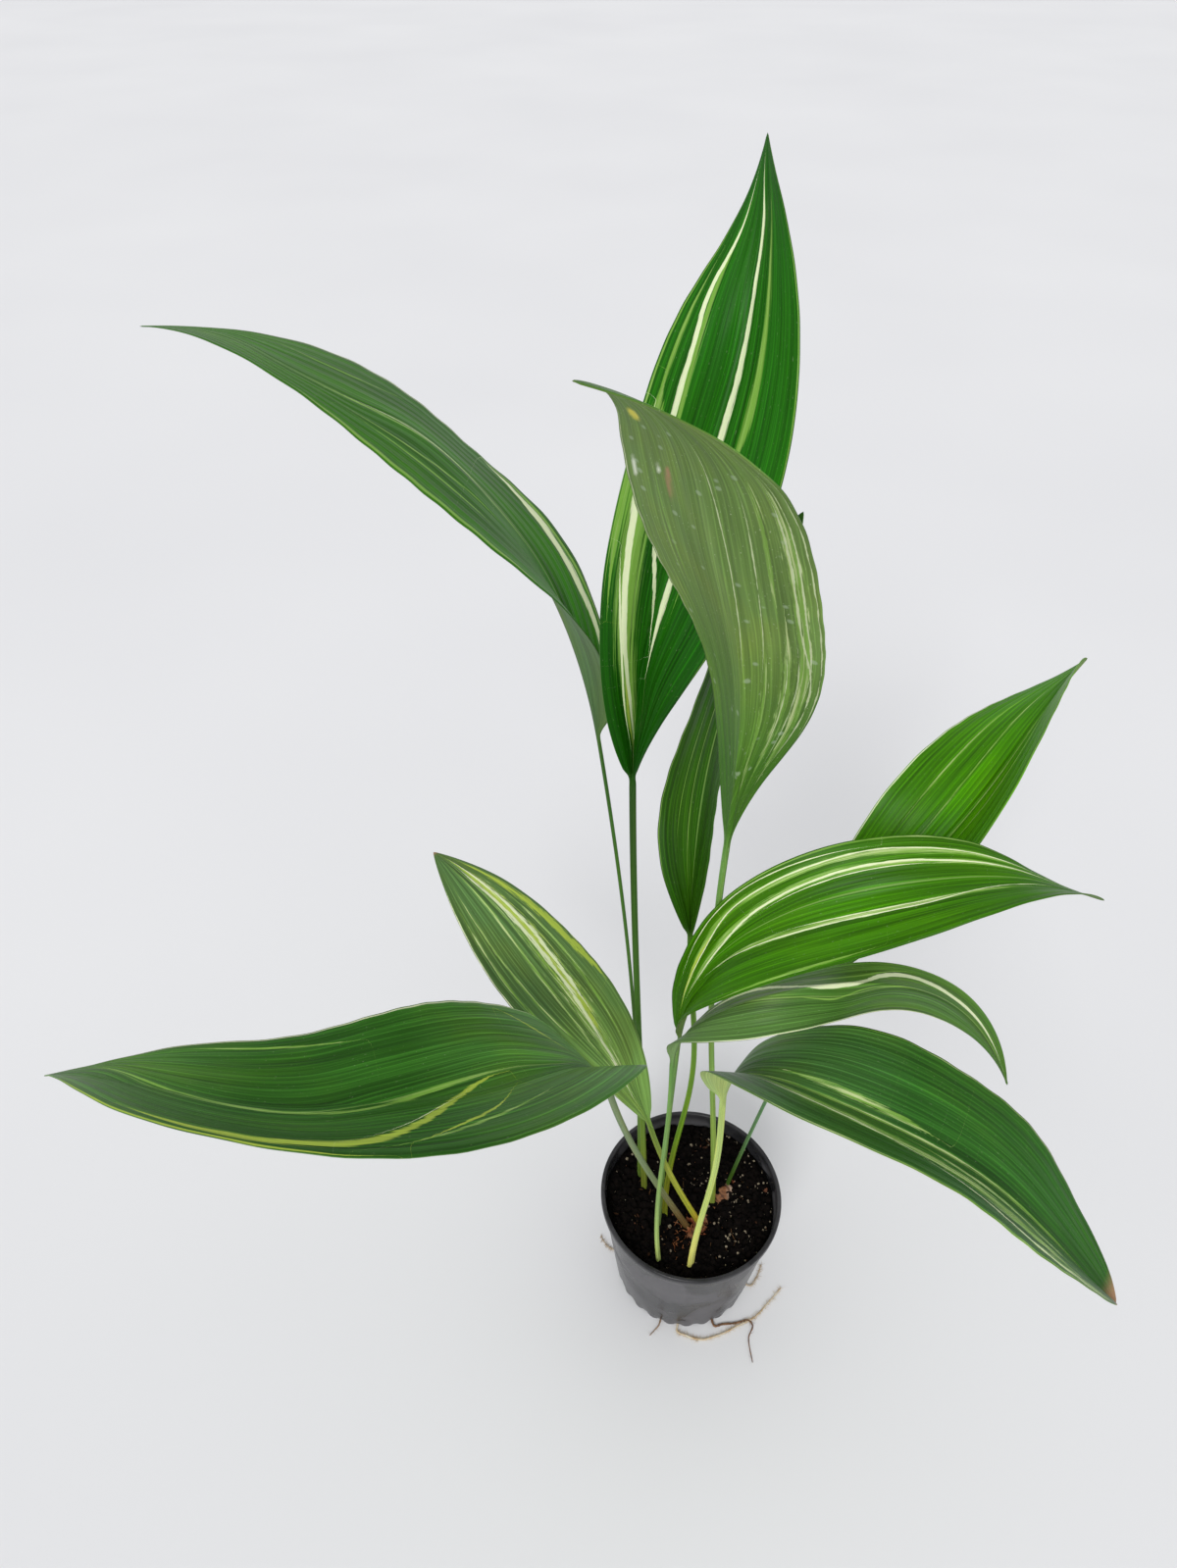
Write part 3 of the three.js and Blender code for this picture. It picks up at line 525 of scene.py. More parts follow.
def makeLeafFinish():
    # Living aspidistra leaf: thin, with a waxy cuticle over parallel ribs that run from base to
    # tip. It gives a satin gloss broken into lengthwise lines, deep green lanes between pale
    # veins, cream, lime and golden streaks with feathered edges, and a paler, duller underside.
    material, add, shader = newFinish("leafWaxedCuticle", IOR=1.42, Specular_IOR_Level=0.14,
                                      Subsurface_Weight=0.05, Subsurface_Scale=0.001,
                                      Subsurface_Radius=(0.5, 1.0, 0.15))
    tone = add("Attribute", attribute_name="tone", out="Color")
    grain, scar, kinds = (add("Attribute", attribute_name=name, out="Vector")
                          for name in ("grain", "scar", "skin"))
    across, along, _ = add("SeparateXYZ", (grain,), out=None)
    tan, white, yellow = add("SeparateXYZ", (scar,), out=None)
    upper, mottle, spots = add("SeparateXYZ", (kinds,), out=None)

    # noise drawn out along the veins: width and length in mm, detail, roughness. Hairs, threads,
    # flecks and specks are a third of a millimetre on a real leaf, and drawn as coarse as they
    # need to show; drift keeps the veins from running too straight
    drawnOut = {"hair": (1.2, 120, 3, 0.6), "lane": (6, 260, 2, 0.6), "fleck": (1.1, 16, 3, 0.68),
                "thread": (0.7, 70, 3, 0.65), "speck": (0.9, 2.2, 2, 0.6),
                "patch": (30, 70, 3, 0.6), "shade": (16, 90, 2, 0.5), "drift": (9, 150, 2, 0.6)}
    noises = {}
    for name, (wide, long, detail, rough) in drawnOut.items():
        mapped = add("Mapping", {"Vector": grain, "Scale": (1 / wide, 1 / long, 1)})
        noises[name] = add("TexNoise", {"Vector": mapped, "Scale": 1.0, "Detail": detail,
                                        "Roughness": rough})
    hair = noises["hair"]
    drift = add("Math", (noises["drift"], 5.0, -2.5), operation="MULTIPLY_ADD")
    drifted = add("VectorMath", (grain, add("CombineXYZ", (drift,))), operation="ADD")
    # veins 2.6 mm apart, twice as coarse as real ones so that they show, and a stronger rib at
    # every third; a wave texture of scale 0.314 / gap has one wave to each gap
    veins, ribs = (add("TexWave", {"Vector": drifted, "Scale": 0.314 / gap, "Distortion": 0.0},
                       out=1, bands_direction="X") for gap in (2.6, 7.8))

    # green: darker and lighter lanes, deep and warm patches, pale vein lines and the midrib
    lanes = add("MapRange", (hair, 0.32, 0.68, 0.66, 1.36))
    for name, span in (("lane", (0.36, 0.64, 0.82, 1.2)), ("shade", (0.36, 0.56, 0.84, 1.04))):
        darker = add("MapRange", (noises[name], *span))
        lanes = add("Math", (lanes, darker), operation="MULTIPLY")
    green = add("VectorMath", {0: tone, "Scale": lanes}, operation="SCALE")
    warmer = add("VectorMath", (green, (1.6, 1.2, 0.7)), operation="MULTIPLY")
    warmth = add("MapRange", (noises["patch"], 0.45, 0.7, 0.0, 0.5))
    green = add("Mix", {0: warmth, 6: green, 7: warmer}, **onColours)
    paler = add("VectorMath", {0: green, "Scale": 2.0}, operation="SCALE")
    veinShare = add("MapRange", (veins, 0.84, 1.0, 0.0, 0.5))
    green = add("Mix", {0: veinShare, 6: green, 7: paler}, **onColours)
    fromRib = add("MapRange", (add("Math", (across,), operation="ABSOLUTE"), 0.2, 0.6, 0.5, 0.0))
    onBlade = add("MapRange", (along, 4.0, 20.0))
    midrib = add("Math", (fromRib, onBlade), operation="MULTIPLY")
    skin = add("Mix", {0: midrib, 6: green, 7: linear("#93b660")}, **onColours)

    # streaks: hairs feather their edges, and flecks break them up where the leaf is mottled
    broken = add("Math", (mottle, 4.5, 0.5), operation="MULTIPLY_ADD")
    flecks = add("Math", (noises["fleck"], 0.5), operation="SUBTRACT")
    flecks = add("Math", (flecks, broken), operation="MULTIPLY")
    streakLooks = {"lime": ("#8dbb4e", 0.66, 0.55, 3.2), "gold": ("#b4c94c", 0.85, 0.35, 2.2),
                   "cream": ("#e6eec2", 0.93, 0.16, 1.1)}
    for kind, (colour, cover, soft, hairy) in streakLooks.items():
        nearest = None
        for part in range(3):
            offsets = add("Attribute", attribute_name=kind + str(part), out="Vector")
            offsets = add("VectorMath", (offsets,), operation="ABSOLUTE")
            if part:
                offsets = add("VectorMath", (nearest, offsets), operation="MINIMUM")
            nearest = offsets
        aside, *others = add("SeparateXYZ", (nearest,), out=None)
        for other in others:
            aside = add("Math", (aside, other), operation="MINIMUM")
        feather = add("Math", (hair, hairy, -0.5 * hairy), operation="MULTIPLY_ADD")
        feather = add("Math", (feather, flecks), operation="ADD")
        aside = add("Math", (aside, feather), operation="SUBTRACT")
        share = add("MapRange", (aside, 1 - soft, 1 + soft, cover, 0.0),
                    interpolation_type="SMOOTHSTEP")
        skin = add("Mix", {0: share, 6: skin, 7: linear(colour)}, **onColours)
        if kind == "lime":  # a mottled leaf's lime bands are full of cream threads
            threads = add("MapRange", (noises["thread"], 0.52, 0.6, 0.0, 1.5))
            threads = add("Math", (threads, mottle), operation="MULTIPLY")
            threads = add("Math", (threads, share), operation="MULTIPLY")
            skin = add("Mix", {0: threads, 6: skin, 7: linear("#dde6ac")}, **onColours)

    # underside: the same streaks through a duller skin, on the blade only; then pale specks of
    # dust and lime scale, dried drops, scars and the dry tip
    veil = add("MapRange", (upper, 0.0, 1.0, 0.38, 0.0))
    veil = add("Math", (veil, add("MapRange", (along, 2.0, 16.0))), operation="MULTIPLY")
    specks = add("MapRange", (noises["speck"], 0.66, 0.74, 0.0, 0.5))
    dusty = add("Math", (spots, 0.8, 0.3), operation="MULTIPLY_ADD")
    specks = add("Math", (specks, dusty), operation="MULTIPLY")
    cellMap = add("Mapping", {"Vector": grain, "Scale": (0.13, 0.1, 1)})
    ring, cell = add("TexVoronoi", {"Vector": cellMap, "Scale": 1.0}, out=None, feature="F1")[:2]
    picked = add("MapRange", (add("SeparateXYZ", (cell,)), 0.5, 0.55))
    drops = add("MapRange", (ring, 0.2, 0.12, 0.0, 0.4))
    for share in (picked, spots):
        drops = add("Math", (drops, share), operation="MULTIPLY")
    for share, colour in ((veil, tone), (specks, "#c2cfa8"), (drops, "#b3c4a8"),
                          (yellow, "#d8cf5a"), (white, "#dfe6d0"), (tan, "#a98460")):
        colour = linear(colour) if isinstance(colour, str) else colour
        skin = add("Mix", {0: share, 6: skin, 7: colour}, **onColours)

    gloss = add("MapRange", (upper, 0.0, 1.0, 0.46, 0.28))
    gloss = add("Math", (hair, 0.2, gloss), operation="MULTIPLY_ADD")
    relief = noises["lane"]
    for share, wave in ((0.4, hair), (0.15, veins), (0.7, ribs)):
        relief = add("Math", (wave, share, relief), operation="MULTIPLY_ADD")
    relief = add("Bump", {"Strength": 0.5, "Distance": 0.0008, "Height": relief})
    feed(shader, Base_Color=skin, Roughness=gloss, Normal=relief)
    return material


leafFinish = makeLeafFinish()
for number, (name, leaf) in enumerate(leaves.items()):
    makeLeaf(name, leaf, number, leafFinish)
print("leaves: 10 blades with their stalks")


# pot

potBuild = dict(height=110, baseRadius=51.5, neckRadius=63, rimRadius=65, wall=1.3, floor=2,
                band=6, wallRows=12, notches=24, notchWidth=6.5, notchHeight=3.2, notchDepth=10,
                notchTaper=0.7, around=192, pinch=1.5, pinchHeight=15, pinchInside=44)


def makePotFinish():
    # Injection-moulded polypropylene, carbon black: a smooth satin skin. Soft-edged pale grey
    # patches on the wall are painted reflections of the light, the wall is faintly wavy from the
    # mould, and the rim band gets fewer of the painted reflections.
    material, add, shader = newFinish("potPolypropyleneMoulded", IOR=1.49,
                                      Specular_IOR_Level=0.26)
    where = add("TexCoord", out="Object")
    # each by cells per metre: painted reflection patches 50 mm across, film, scuffs 2 mm thick
    # and specks 1 mm across (both coarser than real ones, to show), and waves left by the mould
    grades = {"sheenMaps": ((20, 20, 26), 2.0, 1.2), "film": ((90, 90, 90), 5.0, 0.0),
              "scuffs": ((40, 40, 520), 4.0, 0.0), "specks": ((900, 900, 900), 2.0, 0.0),
              "waves": ((24, 24, 24), 1.0, 0.0)}
    noises = {}
    for name, (scale, detail, swirl) in grades.items():
        mapped = add("Mapping", {"Vector": where, "Scale": scale})
        noises[name] = add("TexNoise", {"Vector": mapped, "Scale": 1.0, "Detail": detail,
                                        "Roughness": 0.55, "Distortion": swirl})
    height = add("SeparateXYZ", (where,), out=2)
    # painted reflection: pale grey patches on the wall, fewer on the rim band
    wall = add("MapRange", (height, 0.100, 0.106, 1.0, 0.2))
    paintedSheen = add("MapRange", (noises["sheenMaps"], 0.49, 0.57))
    paintedSheen = add("Math", (paintedSheen, wall), operation="MULTIPLY")
    skin = linear("#222224")
    # the second layer's pale grey is painted reflection; film, scuffs and specks are the pot's own
    for layer, low, high, cover, colour in ((noises["film"], 0.4, 0.7, 0.3, "#4e4c4f"),
                                            (paintedSheen, 0.0, 1.0, 0.4, "#807e81"),
                                            (noises["scuffs"], 0.66, 0.74, 0.3, "#8b8887"),
                                            (noises["specks"], 0.7, 0.76, 0.5, "#91887a")):
        share = add("MapRange", (layer, low, high, 0.0, cover))
        skin = add("Mix", {0: share, 6: skin, 7: linear(colour)}, **onColours)
    gloss = add("MapRange", (paintedSheen, 0.0, 1.0, 0.26, 0.48))
    waves = add("Bump", {"Strength": 0.6, "Distance": 0.0025, "Height": noises["waves"]})
    feed(shader, Base_Color=skin, Roughness=gloss, Normal=waves)
    return material


def makePot(material):
    b = potBuild
    base, neck, rim, rows = b["baseRadius"], b["neckRadius"], b["rimRadius"], b["wallRows"]
    top, foot, floor = b["height"], b["height"] - b["band"], b["floor"]
    inner = base - b["wall"]
    profile = [(0, 0), (40, 0), (base - 0.9, 0), (base - 0.3, 0.3), (base, 1.0)]
    profile += [(base + (neck - base) * k / rows, 1.0 + (foot - 1.0) * k / rows)
                for k in range(1, rows + 1)]
    profile += [(rim - 0.9, foot + 0.15), (rim - 0.3, foot + 0.5), (rim, foot + 1.1),
                (rim, foot + 3), (rim, top - 1.1), (rim - 0.3, top - 0.4), (rim - 0.9, top),
                (rim - 2.1, top), (rim - 2.7, top - 0.3), (rim - 3, top - 0.9),
                (rim - 3.2, foot + 1)]
    profile += [(inner + 0.4 + (neck - base - 0.4) * k / rows, 2.9 + (foot - 2.9) * k / rows)
                for k in range(rows, -1, -1)]
    profile += [(inner - 0.4, floor), (30, floor), (0, floor)]
    bm = turned(profile, b["around"])
    bmesh.ops.recalc_face_normals(bm, faces=bm.faces)

    cutter = bmesh.new()  # drainage notches round the foot, narrower at the top
    for i in range(b["notches"]):
        made = bmesh.ops.create_cube(cutter, size=1)["verts"]
        for vert in made:
            if vert.co.z > 0:
                vert.co.y *= b["notchTaper"]
        turn = Matrix.Rotation(2 * math.pi * (i + 0.5) / b["notches"], 4, "Z")
        place = Matrix.Translation(((base - 2) * mm, 0, (b["notchHeight"] / 2 - 0.1) * mm))
        size = [b["notchDepth"] * mm, b["notchWidth"] * mm, (b["notchHeight"] + 0.2) * mm, 1]
        bmesh.ops.transform(cutter, verts=made, matrix=turn @ place @ Matrix.Diagonal(size))
    upper = [edge for edge in cutter.edges if min(v.co.z for v in edge.verts) > 2.5 * mm]
    bmesh.ops.bevel(cutter, geom=upper, offset=0.7 * mm, offset_type="OFFSET", segments=3,
                    profile=0.5, affect="EDGES", material=-1)
    cutObject = toObject(cutter, "notchCutter")
    shell = toObject(bm, "potShell")
    cut = shell.modifiers.new("notches", "BOOLEAN")
    cut.object, cut.operation, cut.solver = cutObject, "DIFFERENCE", "EXACT"
    depsgraph = bpy.context.evaluated_depsgraph_get()
    notched = bpy.data.meshes.new_from_object(shell.evaluated_get(depsgraph))
    bpy.data.objects.remove(shell)
    bpy.data.objects.remove(cutObject)

    bm = bmesh.new()
    bm.from_mesh(notched)
    closeSkin(bm)
    for vert in bm.verts:  # the wall is drawn in above each notch, and bulges a little between
        x, y, z = (c / mm for c in vert.co)
        radius = math.hypot(x, y)
        if radius > b["pinchInside"] and z < b["pinchHeight"]:
            overNotch = math.cos(b["notches"] * (math.atan2(y, x) - math.pi / b["notches"]))
            pinch = b["pinch"] * (1 - z / b["pinchHeight"]) ** 2 * (0.5 + 0.5 * overNotch)
            vert.co.xy *= (radius - pinch) / radius
    piece = toPiece(bm, "potShell", material, "pot")
    for edge in piece.data.edges:
        edge.use_edge_sharp = False


makePot(makePotFinish())
print("pot: turned wall, rim band and notched foot")


# soil

soilBuild = dict(height=leafBuild["soilHeight"], radius=60.3, footRadius=50.2, foot=2.4, ring=1.1,
                 around=220, heap=0.9, scatterRadius=59.5, edge=60.2, crumbs=3600, perlite=1300,
                 grit=70, bark=22, fibres=14, sheathFibres=16, fibreRadii=(0.26, 0.12),
                 # the grains that stand out on the bed: x, y and radius
                 bigPerlite=[(1, 27, 1.5), (4, 42, 1.3), (8, 37, 1.2), (11, 32, 1.0),
                             (-16, -21, 1.7), (-16, -38, 1.5), (-45, 31, 1.3), (-53, 21, 0.9),
                             (37, 10, 1.3), (38, 2, 1.1), (42, -3, 1.2), (49, 10, 1.0),
                             (25, -30, 1.3), (23, -35, 1.2), (31, -40, 1.0), (38, -24, 1.0),
                             (18, -42, 1.1), (12, -46, 1.0), (29, -12, 0.9)],
                 bigGrit=[(56, 7, 2.1)], bigBark=[(-33, -41, 3.4), (-8, 44, 2.6), (14, 40, 2.4)])
scatter = random.Random(7)


def soilTop(x, y):  # heaps between the stalks, then the grain of the mix
    swell = (math.sin(0.17 * x + 1) * math.sin(0.15 * y + 2.2)
             + 0.7 * math.sin(0.45 * x - 0.31 * y) + 0.6 * math.sin(0.38 * x + 0.52 * y + 1.3))
    grain = (noise.noise(Vector((x * 0.22, y * 0.22, 3))) * 1.6
             + noise.noise(Vector((x * 0.8, y * 0.8, 8))) * 0.9)
    return soilBuild["height"] + soilBuild["heap"] * swell + grain


def makeSoilFinish(name, dark, light, scale, rough, relief):
    # for every loose ingredient: its two tones, cells per metre of its mottling (coarser than the
    # real grain, to show), roughness, and relief in metres
    material, add, shader = newFinish(name, IOR=1.4, Roughness=rough, Specular_IOR_Level=0.12)
    mottle = add("TexNoise", {"Vector": add("TexCoord", out="Object"), "Scale": scale,
                              "Detail": 6.0, "Roughness": 0.7})
    share = add("MapRange", (mottle, 0.35, 0.68))
    skin = add("Mix", {0: share, 6: linear(dark), 7: linear(light)}, **onColours)
    bump = add("Bump", {"Strength": 0.8, "Distance": relief, "Height": mottle})
    feed(shader, Base_Color=skin, Normal=bump)
    return material


def makeSoil(material):
    b = soilBuild
    count = int(b["radius"] / b["ring"])
    profile = [(b["radius"] * i / count, b["height"]) for i in range(count + 1)]
    profile += [(b["radius"] - 0.3, b["height"] - 3), (b["footRadius"], b["foot"] + 2),
                (b["footRadius"] - 2, b["foot"]), (0, b["foot"])]
    bm = turned(profile, b["around"])
    for vert in bm.verts:
        if vert.co.z > (b["height"] - 1) * mm:
            vert.co.z = soilTop(vert.co.x / mm, vert.co.y / mm) * mm
    toPiece(bm, "soilBed", material, "soil")


def scatterGrains(name, material, count, subdivisions, size, squash, sink, crowd=None, placed=()):
    # irregular grains resting on the bed, most of them small; squash gives the range of their two
    # shorter axes, and the placed ones come first
    bm, part, held = bmesh.new(), bmesh.new(), 0
    for i in range(count):
        radius = soilBuild["scatterRadius"] * math.sqrt(scatter.random())
        angle = 2 * math.pi * scatter.random()
        x, y = radius * math.cos(angle), radius * math.sin(angle)
        r = size[0] + (size[1] - size[0]) * scatter.random() ** 2
        if i < len(placed):
            x, y, r = placed[i]
        elif crowd and scatter.random() > crowd(x, y):
            continue
        if math.hypot(x, y) + r > soilBuild["edge"]:
            continue
        verts = bmesh.ops.create_icosphere(part, subdivisions=subdivisions, radius=1)["verts"]
        for vert in verts:
            vert.co *= 1 + 0.45 * noise.noise(vert.co * 1.6 + Vector((i, 0, 0)))
        flat, wide = scatter.uniform(*squash[0]), scatter.uniform(*squash[1])
        turn = Euler([scatter.uniform(*span) for span in ((-0.5, 0.5), (-0.5, 0.5), (0, 6.3))])
        place = Matrix.Translation((x * mm, y * mm, (soilTop(x, y) + r * flat * sink) * mm))
        grown = Matrix.Diagonal((r * mm, r * wide * mm, r * flat * mm, 1))
        bmesh.ops.transform(part, verts=verts, matrix=place @ turn.to_matrix().to_4x4() @ grown)
        held += 1
        if held % handful == 0:
            gather(bm, part)
            part = bmesh.new()
    gather(bm, part)
    toPiece(bm, name, material, smooth=subdivisions > 1)


def makeFibres(name, material, count, centre, reach):  # bent threads lying on the bed
    bm = bmesh.new()
    for i in range(count):
        radius, angle = reach * math.sqrt(scatter.random()), 2 * math.pi * scatter.random()
        x, y = centre[0] + radius * math.cos(angle), centre[1] + radius * math.sin(angle)
        heading, points = scatter.uniform(0, 6.3), []
        for k in range(5):
            points.append((x, y, soilTop(x, y) + 0.5 + 0.9 * scatter.random()))
            heading += scatter.uniform(-0.7, 0.7)
            step = scatter.uniform(1.5, 4)
            x, y = x + step * math.cos(heading), y + step * math.sin(heading)
            if math.hypot(x, y) > 59:
                break
        if len(points) > 2:
            line = smoothLine(points, 4)
            wrapGrid(bm, tubeRings(line, np.linspace(*soilBuild["fibreRadii"], len(line)), 5))
    closeSkin(bm)
    toPiece(bm, name, material)


def inDrifts(x, y):  # perlite lies in drifts, most of them right of the middle
    drift = noise.noise(Vector((x * 0.05 + 4, y * 0.05, 2))) + 0.012 * x
    return 0.1 + 0.85 * ease(drift, 0.05, 0.6)


# Peat and composted bark, moist: nearly black crumbs that hardly shine
makeSoil(makeSoilFinish("soilPeatMoist", "#020202", "#0b0806", 420.0, 0.95, 0.0014))
crumbsFinish = makeSoilFinish("soilCrumbsPeat", "#040303", "#120c09", 300.0, 0.92, 0.0006)
scatterGrains("soilCrumbs", crumbsFinish, soilBuild["crumbs"], 1, (0.6, 2.9),
              ((0.5, 0.9), (0.6, 1.0)), 0.4)
# Expanded perlite: chalky popped grains, dusted grey by the peat
perliteFinish = makeSoilFinish("perliteExpanded", "#463b30", "#b5a78f", 520.0, 0.9, 0.0004)
scatterGrains("perliteGrains", perliteFinish, soilBuild["perlite"], 1, (0.25, 1.1),
              ((0.6, 1.0), (0.6, 1.0)), 0.7, inDrifts, soilBuild["bigPerlite"])
# Baked clay and bark crumbs: dull tan and brick
gritFinish = makeSoilFinish("gritBakedClay", "#40251a", "#8f5f47", 420.0, 0.88, 0.0004)
scatterGrains("gritGrains", gritFinish, soilBuild["grit"], 1, (0.4, 1.1),
              ((0.5, 0.9), (0.6, 1.0)), 0.8, placed=soilBuild["bigGrit"])
# Pine bark chips: brown, fibrous, broken flat
barkFinish = makeSoilFinish("barkChipsPine", "#1c110b", "#4a3020", 500.0, 0.85, 0.0005)
scatterGrains("barkChips", barkFinish, soilBuild["bark"], 2, (1.4, 2.8),
              ((0.2, 0.4), (0.25, 0.5)), 1.0, placed=soilBuild["bigBark"])
# Coir fibres: dry brown threads over the whole bed
coirFinish = makeSoilFinish("fibresCoir", "#3b2819", "#7d5b3c", 700.0, 0.85, 0.0002)
makeFibres("soilFibres", coirFinish, soilBuild["fibres"], (0, 0), 54)
# Rotted sheath fibres: rusty strings round the crowded feet
stringFinish = makeSoilFinish("fibresSheathRotted", "#5c2c18", "#b87a50", 500.0, 0.8, 0.0002)
makeFibres("sheathFibres", stringFinish, soilBuild["sheathFibres"], (-7, -29), 9)
print("soil: bed, crumbs, perlite, grit, bark and fibres")


# rhizome, sheaths and roots

# points of the rhizome's middle line, each with the radius there
rhizomeBuild = dict(points=[(33, 9, 92, 4), (27, 6, 95, 6.5), (16, -3, 92, 6), (4, -21, 94, 6.5),
                            (-6, -33, 92, 5.5), (-20, -26, 88, 5), (-26, -8, 86, 5),
                            (-31, 12, 86, 4.5), (-36, 20, 85, 3)],
                    sides=28, steps=22, scarSpacing=4.6)
# each root: tone (0 old to 1 young), radius, the turn of the notch it leaves by, where it starts
# in the soil, and how it lies on the floor; then the bend by which all of them pass the notch
rootsBuild = [
    dict(tone=0, radius=0.9, exit=-67.5, start=[(4, -21, 90), (12, -28, 45)],
         over=[(27, -50, 1), (38, -49, 1), (47, -47, 1), (50, -51, 1), (46, -60, 1),
               (47, -77, 1)]),
    dict(tone=1, radius=0.8, exit=-97.5, start=[(-6, -31, 90), (-8, -34, 45)],
         over=[(-1, -58, 1), (10, -61, 1), (26, -57, 1), (39, -51, 1), (52, -45, 1), (63, -35, 1),
               (75, -23, 1)]),
    dict(tone=0.2, radius=0.7, exit=-112.5, start=[(-20, -26, 86), (-20, -32, 45)],
         over=[(-24, -54, 1), (-28, -58, 1)]),
    dict(tone=0.7, radius=0.7, exit=-22.5, start=[(27, 6, 92), (34, -4, 45)],
         over=[(57, -15, 1), (62, -5, 1)]),
    dict(tone=0.6, radius=0.7, exit=172.5, start=[(-31, 12, 84), (-34, 6, 45)],
         over=[(-59, 10, 1), (-64, 18, 1)]),
]
rootBend = [(44, 5), (50, 1.7), (55.5, 1.2)]
# Root hairs: how many to a ring on a young root, length, radius at foot and tip (thicker than
# real ones, to show), and how near the pot's middle they may reach
woolBuild = dict(count=9, length=(1.0, 3.6), radii=(0.12, 0.05), nearest=54)


def makeRhizomeFinish():
    # Corky rhizome skin: tan between darker leaf scars, pale pink at the young end, dull, finely
    # wrinkled round its girth
    material, add, shader = newFinish("rhizomeCorkySkin", IOR=1.4, Roughness=0.72)
    where = add("TexCoord", out="Object")
    mottle = add("TexNoise", {"Vector": where, "Scale": 420.0, "Detail": 5.0})
    rightward = add("SeparateXYZ", (where,))
    youngEnd = add("MapRange", (rightward, 0.026, 0.032, 0.0, 0.85))
    skin = linear("#5a3520")
    for share, colour in ((add("MapRange", (mottle, 0.3, 0.7)), "#a06c46"), (youngEnd, "#d9bda6"),
                          (add("Attribute", attribute_name="scar", out="Fac"), "#4a2d1c")):
        skin = add("Mix", {0: share, 6: skin, 7: linear(colour)}, **onColours)
    bump = add("Bump", {"Strength": 0.7, "Distance": 0.0006, "Height": mottle})
    feed(shader, Base_Color=skin, Normal=bump)
    return material


def makeRhizome(material):
    b = rhizomeBuild
    points = smoothLine(b["points"], b["steps"])
    line, radii = points[:, :3], points[:, 3]
    travelled = np.concatenate([[0], np.cumsum(np.linalg.norm(np.diff(line, axis=0), axis=1))])
    gap = b["scarSpacing"]
    scar = np.exp(-((travelled % gap) / gap - 0.5) ** 2 / 0.012)
    radii = radii * (0.97 + 0.05 * np.sin(2 * np.pi * travelled / gap)) - 0.25 * scar
    knobs = lambda i, angles: (0.05 * np.sin(3 * angles + travelled[i] * 0.3)
                               + 0.03 * np.sin(7 * angles - travelled[i] * 0.5))
    bm = bmesh.new()
    layer = bm.verts.layers.float.new("scar")
    padded = np.concatenate([[1], scar, [1]])
    for vert, row, column in wrapGrid(bm, tubeRings(line, radii, b["sides"], knobs)):
        vert[layer] = padded[row]
    closeSkin(bm)
    toPiece(bm, "rhizomeStock", material, "rhizome")


def makeRootsFinish():
    # Fibrous roots, washed and drying: the old ones brown and smooth, the young cream and woolly
    material, add, shader = newFinish("rootsFibrous", IOR=1.4, Roughness=0.75)
    mottle = add("TexNoise", {"Vector": add("TexCoord", out="Object"), "Scale": 330.0,
                              "Detail": 5.0})
    share = add("MapRange", (mottle, 0.32, 0.68))
    old, new = (add("Mix", {0: share, 6: linear(dark), 7: linear(light)}, **onColours)
                for dark, light in (("#4a2f20", "#8a6546"), ("#b99a6e", "#ddd5bf")))
    young = add("Attribute", attribute_name="young", out="Fac")
    skin = add("Mix", {0: young, 6: old, 7: new}, **onColours)
    bump = add("Bump", {"Strength": 0.7, "Distance": 0.0003, "Height": mottle})
    feed(shader, Base_Color=skin, Normal=bump)
    return material


def makeRoots(material):
    bm = bmesh.new()
    bm.verts.layers.float.new("young")
    wool = random.Random(3)
    for root in rootsBuild:
        angle = math.radians(root["exit"])
        bend = [(r * math.cos(angle), r * math.sin(angle), z) for r, z in rootBend]
        line = smoothLine([*root["start"], *bend, *root["over"]], 9)
        last = len(line) - 1
        radii = root["radius"] * np.interp(np.arange(last + 1), [0, (last + 1) * 0.6, last],
                                           [1, 0.85, 0.35])
        line[:, 2] = np.maximum(line[:, 2], radii)
        knobs = lambda i, angles: 0.1 * np.sin(2 * angles + i) + 0.09 * math.sin(i * 1.7)
        tubes = [tubeRings(line, radii, 10, knobs)]
        woolly = root["tone"] > 0.5
        for x, y, z in line[np.hypot(line[:, 0], line[:, 1]) > rootBend[-1][0]]:
            hairs = round(woolBuild["count"] * root["tone"]) if woolly else wool.random() > 0.8
            for k in range(hairs):
                heading, tilt = wool.uniform(0, 6.3), wool.uniform(-0.1, 0.5)
                length = wool.uniform(*woolBuild["length"])
                hair = [(x + t * length * math.cos(heading + 0.5 * t),
                         y + t * length * math.sin(heading + 0.5 * t),
                         max(z + t * length * tilt, 0.15)) for t in (0, 0.5, 1)]
                if min(math.hypot(*spot[:2]) for spot in hair[1:]) > woolBuild["nearest"]:
                    hair = smoothLine(hair, 3)
                    tubes.append(tubeRings(hair, np.linspace(*woolBuild["radii"], len(hair)), 4))
        part = bmesh.new()
        for count, rings in enumerate(tubes, 1):
            wrapGrid(part, rings)
            if count % handful == 0 or count == len(tubes):
                layer = part.verts.layers.float.new("young")
                for vert in part.verts:
                    vert[layer] = root["tone"]
                gather(bm, part)
                part = bmesh.new()
    closeSkin(bm)
    toPiece(bm, "rootsFibrous", material)


